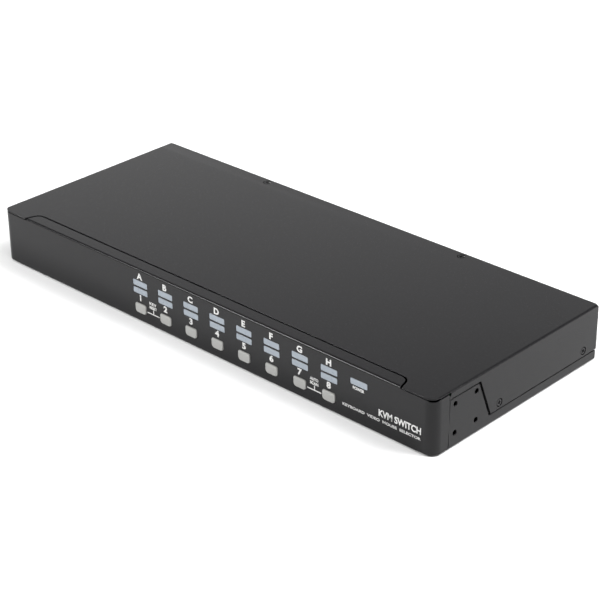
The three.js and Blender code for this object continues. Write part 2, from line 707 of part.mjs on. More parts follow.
/** Two USB sockets in one metal can, each mouth with its contact tongue. */
function usbStack() {
  const front = REAR_FACE + 0.5;
  const [back, bottom] = [front - 17.5, front - 9];
  const can = block([-USB.w / 2, USB.w / 2], [back, front], [PORT_SEAT_Z, PORT_SEAT_Z + USB.h]);
  const middle = PORT_SEAT_Z + USB.h / 2;
  const parts = [-1, 1].map((s) => {
    const z = middle + (s * USB.pitch) / 2;
    const [halfW, halfH] = [USB.mouthW / 2, USB.mouthH / 2];
    const mouth = block([-halfW, halfW], [bottom, front + 1], [z - halfH, z + halfH]);
    const tongue = block([-5.5, 5.5], [bottom - 0.5, front - 0.8], [z + 0.4, z + 2.2]);
    return { mouth, tongue };
  });
  const body = union(cut(can, ...parts.map((p) => p.mouth)), ...parts.map((p) => p.tongue));
  const mesh = piece("console_usb_stack", body, portNickel);
  mesh.position.x = USB_X;
  return mesh;
}

/** The round inlet for the power supply's barrel plug. */
function powerJack() {
  const { z, ring, bore, pin } = POWER_JACK;
  const front = REAR_FACE + 0.5;
  const housing = block([-ring, ring], [front - 14, PORT_FLANGE_Y], [PORT_SEAT_Z, z + 5]);
  const nose = prismY(round(0, z, ring, 24), front - 4, front);
  const hole = prismY(round(0, z, bore, 20), front - 9.5, front + 1);
  const pinBody = prismY(round(0, z, pin, 10), front - 10, front - 0.6);
  const mesh = piece("power_jack", union(cut(union(housing, nose), hole), pinBody), switchBlack);
  mesh.position.x = POWER_X;
  return mesh;
}

// ---- assembly ----

const caseGroup = new THREE.Group();
caseGroup.position.y = FRONT_FACE_Y;
caseGroup.add(baseTray(), topCover(), frontPanel(), rearPanel());
caseGroup.add(...coverScrews(), ...boardScrews());
for (let i = 0; i < COLUMNS; i++) {
  caseGroup.add(button(i), switchPlunger(i), switchBody(i));
  caseGroup.add(lightGuide(`port_light_guide_${"ABCDEFGH"[i]}`, i, Object.values(WINDOW_Z)));
}
caseGroup.add(lightGuide("power_light_guide", COLUMNS, [WINDOW_Z.upper]));
caseGroup.add(frontBoard(), mainBoard(), flatCable());
for (let i = 0; i < STACKS; i++) {
  caseGroup.add(portHousing(`host_port_stack_${i + 1}`, stackX(i), Object.values(PORT_Z)));
}
caseGroup.add(portHousing("console_video_port", CONSOLE_X, [PORT_Z.lower]));
caseGroup.add(portHousing("daisy_chain_port", CHAIN_X, [PORT_Z.lower]));
caseGroup.add(usbStack(), powerJack());

const kvmSwitch = new THREE.Group();
kvmSwitch.add(caseGroup);

export default kvmSwitch;
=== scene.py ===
"""Builds the looks of a rack-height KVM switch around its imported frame.

The case is made the way the real one is: flat steel blanks with their holes, folded along bend lines.
Everything is in metres, +Z up, with the front facing -Y.
"""

import math

import bmesh
import bpy
from bpy.props import FloatProperty, FloatVectorProperty, PointerProperty
from mathutils import Matrix, Vector


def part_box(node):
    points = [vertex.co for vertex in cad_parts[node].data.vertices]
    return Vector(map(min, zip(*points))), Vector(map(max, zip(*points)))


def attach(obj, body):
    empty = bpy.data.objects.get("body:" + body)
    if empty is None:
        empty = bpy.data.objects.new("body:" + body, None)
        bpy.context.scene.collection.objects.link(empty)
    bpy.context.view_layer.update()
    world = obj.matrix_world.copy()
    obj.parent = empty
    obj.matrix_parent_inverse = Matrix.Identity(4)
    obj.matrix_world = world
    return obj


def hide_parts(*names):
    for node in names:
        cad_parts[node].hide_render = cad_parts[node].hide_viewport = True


bl_info = {
    "name": "KVM Switch",
    "version": (1, 0, 0),
    "blender": (4, 5, 0),
    "location": "3D View > Sidebar > KVM Switch",
    "description": "Folded steel case, controls and ports of a rack-height KVM switch",
    "category": "Add Mesh",
}

# ---- places taken from the frame ----

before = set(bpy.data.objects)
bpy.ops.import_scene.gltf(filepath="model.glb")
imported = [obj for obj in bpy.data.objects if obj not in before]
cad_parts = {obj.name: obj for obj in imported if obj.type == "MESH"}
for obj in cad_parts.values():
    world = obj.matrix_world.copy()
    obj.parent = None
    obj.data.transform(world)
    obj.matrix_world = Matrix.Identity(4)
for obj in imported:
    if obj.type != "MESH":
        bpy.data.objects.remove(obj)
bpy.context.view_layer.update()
COVER_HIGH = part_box("top_cover")[1]
PANEL_LOW, PANEL_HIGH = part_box("front_panel")
HALF = COVER_HIGH.x
TOP = COVER_HIGH.z
FRONT = PANEL_LOW.y
DEPTH = COVER_HIGH.y - FRONT
WRAP = PANEL_HIGH.y - FRONT
FLAP_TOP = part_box("base_tray")[1].z
REAR_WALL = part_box("rear_panel")[1].y
COLUMNS = "ABCDEFGH"
STACKS = range(1, 9)
FORWARD = Vector((0, -1, 0))
BACKWARD = Vector((0, 1, 0))
UPWARD = Vector((0, 0, 1))
SIDES = {"left": -1, "right": 1}

# ---- sizes that stay fixed ----

FOOT_HALF = 0.205  # half the length of the flange folded back under the front
FOOT_DEPTH = 0.01  # how far that flange reaches back
FOOT_ROOM = 0.0015  # from that flange's rear edge to the floor's own edge
BEHIND_WALL = -0.0013  # just behind a wall, measured from its outer face
MOULD_EDGE = 0.0001  # tiny round on moulded and stamped parts
INK = 0.00003  # half the thickness of a printed mark
CAPITAL = 0.682  # height of a capital letter in the built-in typeface, as a share of its size
SHELL_END = 0.0046  # how far a D-sub shell stands out of the rear wall
POWER_Z = 0.0155  # middle height of the power inlet
POWER_BORE = 0.0032  # radius of the power inlet's bore


def middle(node):
    """The middle of a CAD node."""
    low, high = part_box(node)
    return (low + high) / 2


# ---- sizes and colours that a user may change ----


def length(name, description, default):
    """A size in metres."""
    return FloatProperty(name=name, description=description, default=default, unit="LENGTH", precision=4)


def bearing(name, description, degrees):
    """An angle, given in degrees."""
    return FloatProperty(name=name, description=description, default=math.radians(degrees), subtype="ANGLE")


def colour(name, description, default):
    """A surface colour."""
    return FloatVectorProperty(
        name=name, description=description, default=default, subtype="COLOR", min=0.0, max=1.0
    )


class CaseSizes(bpy.types.PropertyGroup):
    sheet: length("Sheet", "Thickness of the folded steel", 0.001)
    bend: length("Bend", "Outer radius of the sharp folds", 0.0016)
    corner: length("Corner", "Outer radius of the upright front corners", 0.008)
    edge: length("Edge", "Round left by the paint along each cut edge", 0.0002)
    tray_edge: length("Tray edge", "Round along the cut edges of the tray and its flaps", 0.00048)
    seam: length("Seam", "Gap between neighbouring sheets", 0.0003)
    top_gap: length("Top gap", "Gap under the cover along the top of the front", 0.0005)
    flange_half: length("Flange half", "Half the length of the flange on top of the front", 0.1914)
    flange_taper: length("Flange taper", "How much shorter each end is at the flange's rear", 0.0036)
    flange_depth: length("Flange depth", "How far that flange reaches back", 0.01085)
    flange_corner: length("Flange corner", "Radius of the flange's rear corners", 0.006)
    flange_seam: length("Flange seam", "Open seam between that flange and the cover", 0.0014)
    ledge: length("Ledge", "Height of the tray's edge below the cover's skirt", 0.0076)
    ledge_gap: length("Ledge gap", "Gap between the ledge and the skirt", 0.0006)
    flap_gap: length("Flap gap", "Gap between the rack-ear flap and the skirt above it", 0.0007)
    flap_top: length("Flap top", "How far back the rack-ear flap reaches at its top", 0.0462)
    flap_low: length("Flap foot", "How far back the rack-ear flap reaches at its foot", 0.0579)
    slot: length("Slot", "Width of the slanted slot behind the flap", 0.0018)
    ear_pitch: length("Ear hole pitch", "Side of the square of rack-ear holes", 0.022)
    ear_hole: length("Ear hole", "Radius of a rack-ear hole", 0.0019)
    ear_height: length("Ear hole height", "Height of the middle of the rack-ear holes", 0.0217)
    ear_back: length("Ear hole place", "From the front sheet's edge back to the middle of those holes", 0.017)
    screw_head: length("Screw head", "Radius of a flat screw head", 0.00245)
    screw_gap: length("Screw gap", "Gap round a flat screw head", 0.00062)
    relief: length("Relief", "Radius of the bend relief at the end of the top seam", 0.0012)
    paint: colour("Paint", "Colour of the powder coat", (0.0052, 0.005, 0.0058))
    grain: length("Paint grain", "Size of the powder coat's texture", 0.0007)


class ControlSizes(bpy.types.PropertyGroup):
    button_width: length("Button width", "Width of a push button", 0.0116)
    button_height: length("Button height", "Height of a push button", 0.0077)
    button_proud: length("Button proud", "How far a button stands out of the front", 0.0008)
    button_crown: length("Button crown", "How far a button's face bulges", 0.00015)
    window_width: length("Window width", "Width of a light window", 0.0151)
    window_height: length("Window height", "Height of a light window", 0.00465)
    window_corner: length("Window corner", "Radius of a light window's corners", 0.0007)
    window_pitch: length("Window pitch", "Height from the lower window to the upper one", 0.00615)
    clearance: length("Clearance", "Gap round a button in its hole", 0.00025)
    letter_height: length("Letter height", "Height of the letters above the windows", 0.005)
    digit_height: length("Digit height", "Height of the numbers below the windows", 0.005)
    button_colour: colour("Button colour", "Plastic of the buttons", (0.34, 0.34, 0.327))
    window_colour: colour("Window colour", "Plastic of the light windows", (0.257, 0.293, 0.335))
    ink: colour("Ink", "Printed marks", (0.62, 0.62, 0.61))


class PortSizes(bpy.types.PropertyGroup):
    shell_width: length("Shell width", "Width of a D-sub shell", 0.0164)
    shell_height: length("Shell height", "Height of a D-sub shell", 0.0084)
    shell_wall: length("Shell wall", "Thickness of a D-sub shell", 0.0004)
    jack_spacing: length("Jack spacing", "Distance between the jack nuts of a port", 0.025)
    lower: length("Lower row", "Height of the lower row of ports", 0.016)
    upper: length("Upper row", "Height of the upper row of ports", 0.0319)
    insert_colour: colour("Insert colour", "Plastic inside the ports", (0.012, 0.045, 0.26))


class StudioSettings(bpy.types.PropertyGroup):
    lens: FloatProperty(
        name="Lens", description="Focal length of the camera", default=109.17, unit="CAMERA"
    )
    azimuth: bearing("Azimuth", "Camera's turn from straight ahead of the front", 43.844)
    elevation: bearing("Elevation", "Camera's height angle", 27.645)
    roll: bearing("Roll", "Camera's roll", -0.782)
    distance: length("Distance", "From the camera to its aim", 1.3325)
    aim_right: length("Aim right", "Camera's aim, right of the middle", 0.0315)
    aim_back: length("Aim back", "Camera's aim, behind the front face", 0.07383)
    aim_up: length("Aim up", "Camera's aim above the floor", 0.02207)
    floor_colour: colour("Floor", "Colour of the floor", (0.92, 0.92, 0.92))


# ---- outlines ----


def rounded(corners, steps=6):
    """An outline through corners given as (x, y) or (x, y, radius)."""
    points = []
    for i, corner in enumerate(corners):
        here = Vector(corner[:2])
        if len(corner) < 3:
            points.append(here)
            continue
        radius = corner[2]
        back = (Vector(corners[i - 1][:2]) - here).normalized()
        ahead = (Vector(corners[(i + 1) % len(corners)][:2]) - here).normalized()
        half_angle = back.angle(ahead) / 2
        centre = here + (back + ahead).normalized() * radius / math.sin(half_angle)
        reach = radius / math.tan(half_angle)
        first = (here + back * reach - centre).normalized()
        last = (here + ahead * reach - centre).normalized()
        points += [centre + first.slerp(last, step / steps) * radius for step in range(steps + 1)]
    return points


def mirrored(right_half):
    """A whole outline from the corners of its right half, listed from the front to the rear."""
    left_half = [(-corner[0], *corner[1:]) for corner in reversed(right_half)]
    return [*right_half, *left_half]


def rectangle(x, y, width, height, radius=0.0, steps=4):
    """A rectangle's outline around its middle, with rounded corners where a radius is given."""
    w, h = width / 2, height / 2
    corners = [(x - w, y - h), (x + w, y - h), (x + w, y + h), (x - w, y + h)]
    if radius:
        corners = [(*corner, radius) for corner in corners]
    return rounded(corners, steps)


def circle(x, y, radius, sides=24):
    """A round outline."""
    turns = [2 * math.pi * (i + 0.5) / sides for i in range(sides)]
    return [Vector((x + radius * math.cos(t), y + radius * math.sin(t))) for t in turns]


def d_outline(sizes, x, y, grow=0.0):
    """The outline of a D-sub shell, wider at its top."""
    half_height = sizes.shell_height / 2 + grow
    top = sizes.shell_width / 2 + grow
    lean = math.radians(10)
    foot = top - 2 * half_height * math.tan(lean)
    radius = 0.0024 + grow
    corners = [(-foot, -half_height), (foot, -half_height), (top, half_height), (-top, half_height)]
    return rounded([(x + cx, y + cy, radius) for cx, cy in corners])


# ---- meshes ----


def facing(out, origin=(0, 0, 0)):
    """The place of a piece that is drawn in X and Y and whose outer face looks along `out`."""
    up = BACKWARD if out.z else UPWARD
    turn = Matrix((up.cross(out), up, out)).transposed().to_4x4()
    return Matrix.Translation(origin) @ turn


def plate(outline, holes, thickness, edge):
    """A flat plate below z = 0, with its holes, and with a small round along every cut edge."""
    curve = bpy.data.curves.new("plate", "CURVE")
    curve.dimensions = "2D"
    curve.fill_mode = "BOTH"
    curve.extrude = thickness / 2 - edge
    curve.bevel_depth = edge
    curve.bevel_resolution = 1
    curve.offset = -edge
    for loop in [outline, *holes]:
        spline = curve.splines.new("POLY")
        spline.points.add(len(loop) - 1)
        for point, (x, y) in zip(spline.points, loop):
            point.co = (x, y, 0, 1)
        spline.use_cyclic_u = True
    bm = from_curve(curve)
    bmesh.ops.translate(bm, verts=bm.verts, vec=(0, 0, -thickness / 2))
    return bm


def from_curve(curve):
    """The welded mesh of a curve or text, which is then thrown away."""
    holder = bpy.data.objects.new(curve.name, curve)
    mesh = bpy.data.meshes.new_from_object(holder)
    bm = bmesh.new()
    bm.from_mesh(mesh)
    bmesh.ops.remove_doubles(bm, verts=bm.verts, dist=1e-6)
    bpy.data.objects.remove(holder)
    bpy.data.curves.remove(curve)
    bpy.data.meshes.remove(mesh)
    return bm


def fold(bm, direction, start, radius, steps=8):
    """Folds the sheet a quarter turn away from its outer face, past `start` along the direction."""
    along = Vector(direction)
    arc = radius * math.pi / 2
    for step in range(steps + 1):
        everything = [*bm.verts, *bm.edges, *bm.faces]
        cut = along * (start + arc * step / steps)
        bmesh.ops.bisect_plane(bm, geom=everything, dist=1e-7, plane_co=cut, plane_no=along)
    for vert in bm.verts:
        reach = vert.co.dot(along) - start
        if reach <= 0:
            continue
        angle = min(reach / radius, math.pi / 2)
        past = max(reach - arc, 0.0)
        depth = radius + vert.co.z
        flat = vert.co - along * (reach + start)
        flat.z = depth * math.cos(angle) - radius - past * math.sin(angle)
        vert.co = flat + along * (start + depth * math.sin(angle) + past * math.cos(angle))


def unfolded(start, radius, drop):
    """Where a point lies on the flat blank if it ends up `drop` below the outer face."""
    return start + radius * math.pi / 2 + drop - radius


def skin(bm, rings):
    """Joins a row of rings that have equally many points, and closes both ends."""
    loops = [[bm.verts.new(point) for point in ring] for ring in rings]
    for low, high in zip(loops, loops[1:]):
        for i in range(len(low)):
            bm.faces.new((low[i - 1], low[i], high[i], high[i - 1]))
    bm.faces.new(reversed(loops[0]))
    bm.faces.new(loops[-1])


def at_height(outline, z):
    """The points of an outline at one height."""
    return [Vector((x, y, z)) for x, y in outline]


def soft_block(bm, shape, low, high, edge, steps=3):
    """A block between two heights with a rounded rim, where shape(grow) gives its outline."""
    rings = [at_height(shape(0.0), low)]
    for step in range(steps + 1):
        angle = math.pi / 2 * step / steps
        rings.append(at_height(shape(edge * (math.cos(angle) - 1)), high - edge * (1 - math.sin(angle))))
    skin(bm, rings)


def placed(bm, place):
    """The same mesh, moved to its place."""
    bmesh.ops.transform(bm, matrix=place, verts=bm.verts)
    return bm


def lifted(bm, height):
    """The same mesh, moved outwards, or inwards if the height is below zero."""
    return placed(bm, Matrix.Translation((0, 0, height)))


def joined(*parts):
    """One mesh of several, which are thrown away."""
    whole = bmesh.new()
    for part in parts:
        mesh = bpy.data.meshes.new("part")
        part.to_mesh(mesh)
        part.free()
        whole.from_mesh(mesh)
        bpy.data.meshes.remove(mesh)
    return whole


def add_piece(name, bm, finish, body="case", replaces=()):
    """Puts a mesh into the scene as a smooth-shaded piece that rides on a body of the frame."""
    bmesh.ops.dissolve_limit(bm, angle_limit=math.radians(0.2), verts=bm.verts, edges=bm.edges)
    mesh = bpy.data.meshes.new(name)
    bm.to_mesh(mesh)
    bm.free()
    mesh.shade_smooth()
    mesh.set_sharp_from_angle(angle=math.radians(50))
    mesh.materials.append(finish)
    piece = bpy.data.objects.new(name, mesh)
    bpy.context.scene.collection.objects.link(piece)
    normals = piece.modifiers.new("even normals", "WEIGHTED_NORMAL")
    normals.keep_sharp = True
    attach(piece, body)
    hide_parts(*replaces)
    return piece


# ---- finishes ----


def grained(name, base, roughness, grain, relief, variation=0.12, spread=0.08, metallic=0.0, shine=0.5):
    """A finish with fine grain: its colour, its roughness and its surface all vary a little."""
    if name in bpy.data.materials:
        return bpy.data.materials[name]
    material = bpy.data.materials.new(name)
    material.use_nodes = True
    nodes, links = material.node_tree.nodes, material.node_tree.links
    shader = nodes["Principled BSDF"]
    shader.inputs["Metallic"].default_value = metallic
    shader.inputs["Specular IOR Level"].default_value = shine
    place = nodes.new("ShaderNodeTexCoord")

    cloud = nodes.new("ShaderNodeTexNoise")
    cloud.inputs["Scale"].default_value = 18
    cloud.inputs["Detail"].default_value = 4
    speck = nodes.new("ShaderNodeTexNoise")
    speck.inputs["Scale"].default_value = 1 / grain
    speck.inputs["Detail"].default_value = 2
    for noise in (cloud, speck):
        links.new(place.outputs["Object"], noise.inputs["Vector"])

    tint = nodes.new("ShaderNodeMix")
    tint.data_type = "RGBA"
    tint.inputs["A"].default_value = (*[c * (1 - variation) for c in base], 1)
    tint.inputs["B"].default_value = (*[min(c * (1 + variation), 1) for c in base], 1)
    blend = nodes.new("ShaderNodeMath")
    blend.operation = "MULTIPLY_ADD"
    blend.inputs[1].default_value = 0.5
    halved = nodes.new("ShaderNodeMath")
    halved.operation = "MULTIPLY"
    halved.inputs[1].default_value = 0.5
    links.new(cloud.outputs["Fac"], blend.inputs[0])
    links.new(speck.outputs["Fac"], halved.inputs[0])
    links.new(halved.outputs[0], blend.inputs[2])
    links.new(blend.outputs[0], tint.inputs["Factor"])
    links.new(tint.outputs["Result"], shader.inputs["Base Color"])

    sheen = nodes.new("ShaderNodeMapRange")
    sheen.inputs["To Min"].default_value = roughness - spread
    sheen.inputs["To Max"].default_value = roughness + spread
    links.new(speck.outputs["Fac"], sheen.inputs["Value"])
    links.new(sheen.outputs["Result"], shader.inputs["Roughness"])

    bump = nodes.new("ShaderNodeBump")
    bump.inputs["Distance"].default_value = relief
    links.new(speck.outputs["Fac"], bump.inputs["Height"])
    links.new(bump.outputs["Normal"], shader.inputs["Normal"])
    return material


def powder_coat(sizes):
    """Satin black paint with the fine texture that it gets in the oven."""
    return grained(
        "powder coat", sizes.paint, 0.25, sizes.grain, 0.000012, variation=0.2, spread=0.06, shine=0.24
    )


def screw_black():
    """The dark finish of the cover's screws."""
    return grained("black oxide", (0.05, 0.05, 0.052), 0.3, 0.0004, 0.000008, metallic=1.0)


def button_plastic(sizes):
    """The milky plastic of the push buttons."""
    return grained("button plastic", sizes.button_colour, 0.42, 0.0006, 0.000008, variation=0.04)


def window_plastic(sizes):
    """The smooth plastic of the light windows."""
    material = grained("window plastic", sizes.window_colour, 0.3, 0.002, 0.000005, variation=0.06)
    shader = material.node_tree.nodes["Principled BSDF"]
    shader.inputs["Coat Weight"].default_value = 0.3
    shader.inputs["Coat Roughness"].default_value = 0.1
    return material


def white_ink(sizes):
    """Screen-printed ink."""
    return grained("white ink", sizes.ink, 0.5, 0.0004, 0.000005, variation=0.05)


def nickel():
    """The plating of shells and nuts."""
    plating = (0.62, 0.61, 0.58)
    return grained("nickel plate", plating, 0.28, 0.0008, 0.000004, variation=0.08, spread=0.06, metallic=1.0)


def zinc():
    """The plating of the board screws."""
    return grained("zinc plate", (0.66, 0.67, 0.7), 0.3, 0.0006, 0.000004, variation=0.1, metallic=1.0)


def port_plastic(sizes):
    """The plastic inside the D-sub ports."""
    return grained("port plastic", sizes.insert_colour, 0.4, 0.0008, 0.000006)


def black_plastic():
    """The plastic of switch housings and of the power inlet."""
    return grained("black plastic", (0.014, 0.014, 0.015), 0.45, 0.0006, 0.00001)


def white_plastic():
    """The plastic of switch plungers and USB tongues."""
    return grained("white plastic", (0.72, 0.7, 0.64), 0.45, 0.0008, 0.000008, variation=0.05)


def solder_mask():
    """The lacquer of the circuit boards."""
    return grained("green solder mask", (0.01, 0.11, 0.04), 0.35, 0.003, 0.00001, variation=0.25)


def cable_grey():
    """The insulation of the flat cable."""
    return grained("grey insulation", (0.3, 0.31, 0.33), 0.5, 0.0013, 0.00008, variation=0.1)


def gold():
    """The plating of flat contacts."""
    plating = (0.83, 0.6, 0.24)
    return grained("gold plate", plating, 0.25, 0.0006, 0.000003, variation=0.08, spread=0.05, metallic=1.0)


# ---- the case ----


def relief_arc(sizes, x, y):
    """The bite that a round bend relief takes out of the blank, from the sheet's edge to the skirt's."""
    turns = [math.radians(degrees) for degrees in range(216, -1, -36)]
    return [(x + sizes.relief * math.cos(turn), y + sizes.relief * math.sin(turn)) for turn in turns]


def skirt_outline(sizes):
    """The right half of the cover's blank, from its front edge to the rear."""
    start = HALF - sizes.bend
    skirt_front = WRAP + sizes.seam
    band = unfolded(start, sizes.bend, TOP - FLAP_TOP - sizes.flap_gap)
    low = unfolded(start, sizes.bend, TOP - sizes.ledge - sizes.ledge_gap)
    corner_drop = 0.0017  # how far the notch at the rear corner reaches down the skirt
    crisp, soft, notch_round = 0.0006, 0.001, 0.0012
    return [
        (sizes.flange_half + sizes.flange_seam, 0),
        (HALF, 0, sizes.corner),
        *relief_arc(sizes, HALF + sizes.relief * math.cos(math.radians(36)), skirt_front),
        (band, skirt_front),
        (band, sizes.flap_top + sizes.slot, 0.0004),
        (low, sizes.flap_low + sizes.slot, soft),
        (low, DEPTH, crisp),
        (unfolded(start, sizes.bend, corner_drop), DEPTH, notch_round),
        (start + sizes.bend / 2, DEPTH - corner_drop / 2, crisp),
        (start - corner_drop / 2, DEPTH, notch_round),
    ]


def screw_seats(sizes, places):
    """Holes with room for flat screw heads."""
    return [circle(x, y, sizes.screw_head + sizes.screw_gap, 32) for x, y in places]


def top_cover(sizes):
    """The lid: one blank with a notch for the front flange, folded down at both sides."""
    notch = sizes.flange_half + sizes.flange_seam - sizes.flange_taper
    notch_end = sizes.flange_depth + sizes.flange_seam
    notch_corner = (notch, notch_end, sizes.flange_corner + sizes.flange_seam)
    outline = mirrored([notch_corner, *skirt_outline(sizes)])
    start = HALF - sizes.bend
    places = []
    for side, sign in SIDES.items():
        top_screw = middle(f"top_screw_{side}")
        places.append((top_screw.x, top_screw.y - FRONT))
        for end in ("front", "rear"):
            screw = middle(f"side_screw_{side}_{end}")
            places.append((sign * unfolded(start, sizes.bend, TOP - screw.z), screw.y - FRONT))
    blank = plate(rounded(outline), screw_seats(sizes, places), sizes.sheet, sizes.edge)
    fold(blank, (1, 0, 0), start, sizes.bend)
    fold(blank, (-1, 0, 0), start, sizes.bend)
    return placed(blank, facing(UPWARD, (0, FRONT, TOP)))


def window_places(sizes):
    """The middle of every light window, as x and height."""
    places = []
    for letter in COLUMNS:
        guide = middle(f"port_light_guide_{letter}")
        places += [(guide.x, guide.z + sign * sizes.window_pitch / 2) for sign in (-1, 1)]
    power = middle("power_light_guide")
    places.append((power.x, power.z))
    return places


def button_outline(sizes, x, y, grow=0.0):
    """A rounded square whose lower corners are rounder than the upper ones."""
    w, h = sizes.button_width / 2 + grow, sizes.button_height / 2 + grow
    foot, head = 0.0026 + grow, 0.0014 + grow
    corners = [(x - w, y - h, foot), (x + w, y - h, foot), (x + w, y + h, head), (x - w, y + h, head)]
    return rounded(corners)


def front_panel(sizes, controls):
    """The front: one blank that wraps round both corners, with a flange folded back above and below."""
    start = HALF - sizes.corner
    side = start + sizes.corner * math.pi / 2 + WRAP - sizes.corner
    wall_top = TOP - sizes.sheet - sizes.top_gap
    corner_middle = start + sizes.corner * math.pi / 4
    slit, slit_depth = 0.0042, 0.001  # half the length of the slit under the cover's corner, and its depth
    crisp, soft, slit_round = 0.0003, 0.001, 0.002
    foot = -unfolded(-sizes.bend, sizes.bend, FOOT_DEPTH)
    lip = unfolded(TOP - sizes.bend, sizes.bend, sizes.flange_depth)
    outline = mirrored([
        (FOOT_HALF, foot, soft),
        (FOOT_HALF, sizes.sheet),
        (side, sizes.sheet),
        (side, wall_top - sizes.relief),
        (side - sizes.relief, wall_top, crisp),
        (corner_middle + slit, wall_top),
        (corner_middle + slit * 0.6, wall_top - slit_depth, slit_round),
        (corner_middle - slit * 0.6, wall_top - slit_depth, slit_round),
        (corner_middle - slit, wall_top),
        (sizes.flange_half, wall_top),
        (sizes.flange_half - sizes.flange_taper, lip, sizes.flange_corner),
    ])
    room = 0.0002
    window = (controls.window_width + room, controls.window_height + room, controls.window_corner)
    holes = [rectangle(x, z, *window) for x, z in window_places(controls)]
    for number in range(1, len(COLUMNS) + 1):
        button = middle(f"button_{number}")
        holes.append(button_outline(controls, button.x, button.z, controls.clearance))
    blank = plate(rounded(outline), holes, sizes.sheet, sizes.edge)
    fold(blank, (0, 1, 0), TOP - sizes.bend, sizes.bend)
    fold(blank, (0, -1, 0), -sizes.bend, sizes.bend)
    fold(blank, (1, 0, 0), start, sizes.corner, 16)
    fold(blank, (-1, 0, 0), start, sizes.corner, 16)
    return placed(blank, facing(FORWARD, (0, FRONT, 0)))


def ear_holes(sizes, blank_x):
    """The four rack-ear holes of one flap, where blank_x turns a height into a place on the blank."""
    reach = sizes.ear_pitch / 2
    return [
        circle(blank_x(sizes.ear_height + dz * reach), WRAP + sizes.ear_back + dy * reach, sizes.ear_hole)
        for dy in (-1, 1)
        for dz in (-1, 1)
    ]


def base_tray(sizes):
    """The floor with its low ledges and rack-ear flaps folded up, and the inner flanges for screws."""
    start = HALF - sizes.bend
    inset = HALF - sizes.sheet - sizes.seam
    side_front = WRAP + sizes.seam
    foot_half, foot_back = FOOT_HALF + sizes.seam, FOOT_DEPTH + FOOT_ROOM
    corner = sizes.corner - sizes.sheet - sizes.seam
    step, joggle = 0.0009, 0.0005  # where the floor grows to its full width behind the front sheet
    rear = DEPTH - 0.0005
    nick_in, nick_deep = 0.001, 0.0011  # the nick at the floor's rear corner
    crisp, soft, rear_round = 0.0006, 0.001, 0.0036
    right_half = [
        (foot_half, foot_back),
        (foot_half, sizes.sheet + sizes.seam),
        (inset, sizes.sheet + sizes.seam, corner),
        (inset, side_front - step),
        (start - joggle, side_front - step),
        (start - joggle, side_front),
        (unfolded(start, sizes.bend, FLAP_TOP), side_front, 0.0004),
        (unfolded(start, sizes.bend, FLAP_TOP), sizes.flap_top, soft),
        (unfolded(start, sizes.bend, sizes.ledge), sizes.flap_low, soft),
        (unfolded(start, sizes.bend, sizes.ledge), rear, crisp),
        (unfolded(start, sizes.bend, 0.0005), rear, rear_round),
        (start - nick_in, rear - nick_deep, soft),
    ]
    holes = ear_holes(sizes, lambda z: unfolded(start, sizes.bend, z))
    holes += ear_holes(sizes, lambda z: -unfolded(start, sizes.bend, z))
    blank = plate(rounded(mirrored(right_half)), holes, sizes.sheet, sizes.tray_edge)
    fold(blank, (1, 0, 0), start, sizes.bend)
    fold(blank, (-1, 0, 0), start, sizes.bend)
    floor = placed(blank, facing(-UPWARD, (0, FRONT, 0)))
    flanges = [screw_flange(sizes, side, inset) for side in SIDES]
    return joined(floor, *flanges, front_tongue(sizes))


def screw_flange(sizes, side, inset):
    """The upright flange inside the cover's skirt that takes its two side screws."""
    sign = SIDES[side]
    front, rear = sizes.flap_low - 0.01, DEPTH - 0.002
    step_widths = 1.8  # width of the step to the floor's ledge, in sheets
    foot, top_round, thread_hole = sizes.ledge - sizes.sheet, 0.003, 0.0016
    corners = [(front, foot), (rear, foot), (rear, FLAP_TOP, top_round), (front, FLAP_TOP, top_round)]
    outline = [(sign * (FRONT + y), z) for y, z in rounded(corners)]
    holes = []
    for end in ("front", "rear"):
        screw = middle(f"side_screw_{side}_{end}")
        holes.append(circle(sign * screw.y, screw.z, thread_hole))
    upright = plate(outline, holes, sizes.sheet, sizes.edge)
    placed(upright, facing(Vector((sign, 0, 0)), (sign * inset, 0, 0)))
    width = sizes.sheet * step_widths + sizes.seam
    step = plate(
        rectangle(sign * (HALF - sizes.sheet / 2 - width / 2), (front + rear) / 2, width, rear - front),
        [],
        sizes.sheet,
        sizes.edge,
    )
    return joined(upright, placed(step, facing(UPWARD, (0, FRONT, sizes.ledge))))


def front_tongue(sizes):
    """The raised strip of the floor that lies on the front panel's lower flange."""
    lift = 2 * sizes.sheet + sizes.seam
    front, rear, length_along = 0.003, 0.0125, 0.4
    outline = rectangle(0, (front + rear) / 2, length_along, rear - front)
    strip = plate(outline, [], sizes.sheet, sizes.edge)
    return placed(strip, facing(UPWARD, (0, FRONT, lift)))


def port_places(sizes):
    """The middle of every D-sub port on the rear, as x and height."""
    places = [(middle(f"host_port_stack_{n}").x, z) for n in STACKS for z in (sizes.lower, sizes.upper)]
    return places + [(middle(node).x, sizes.lower) for node in ("console_video_port", "daisy_chain_port")]


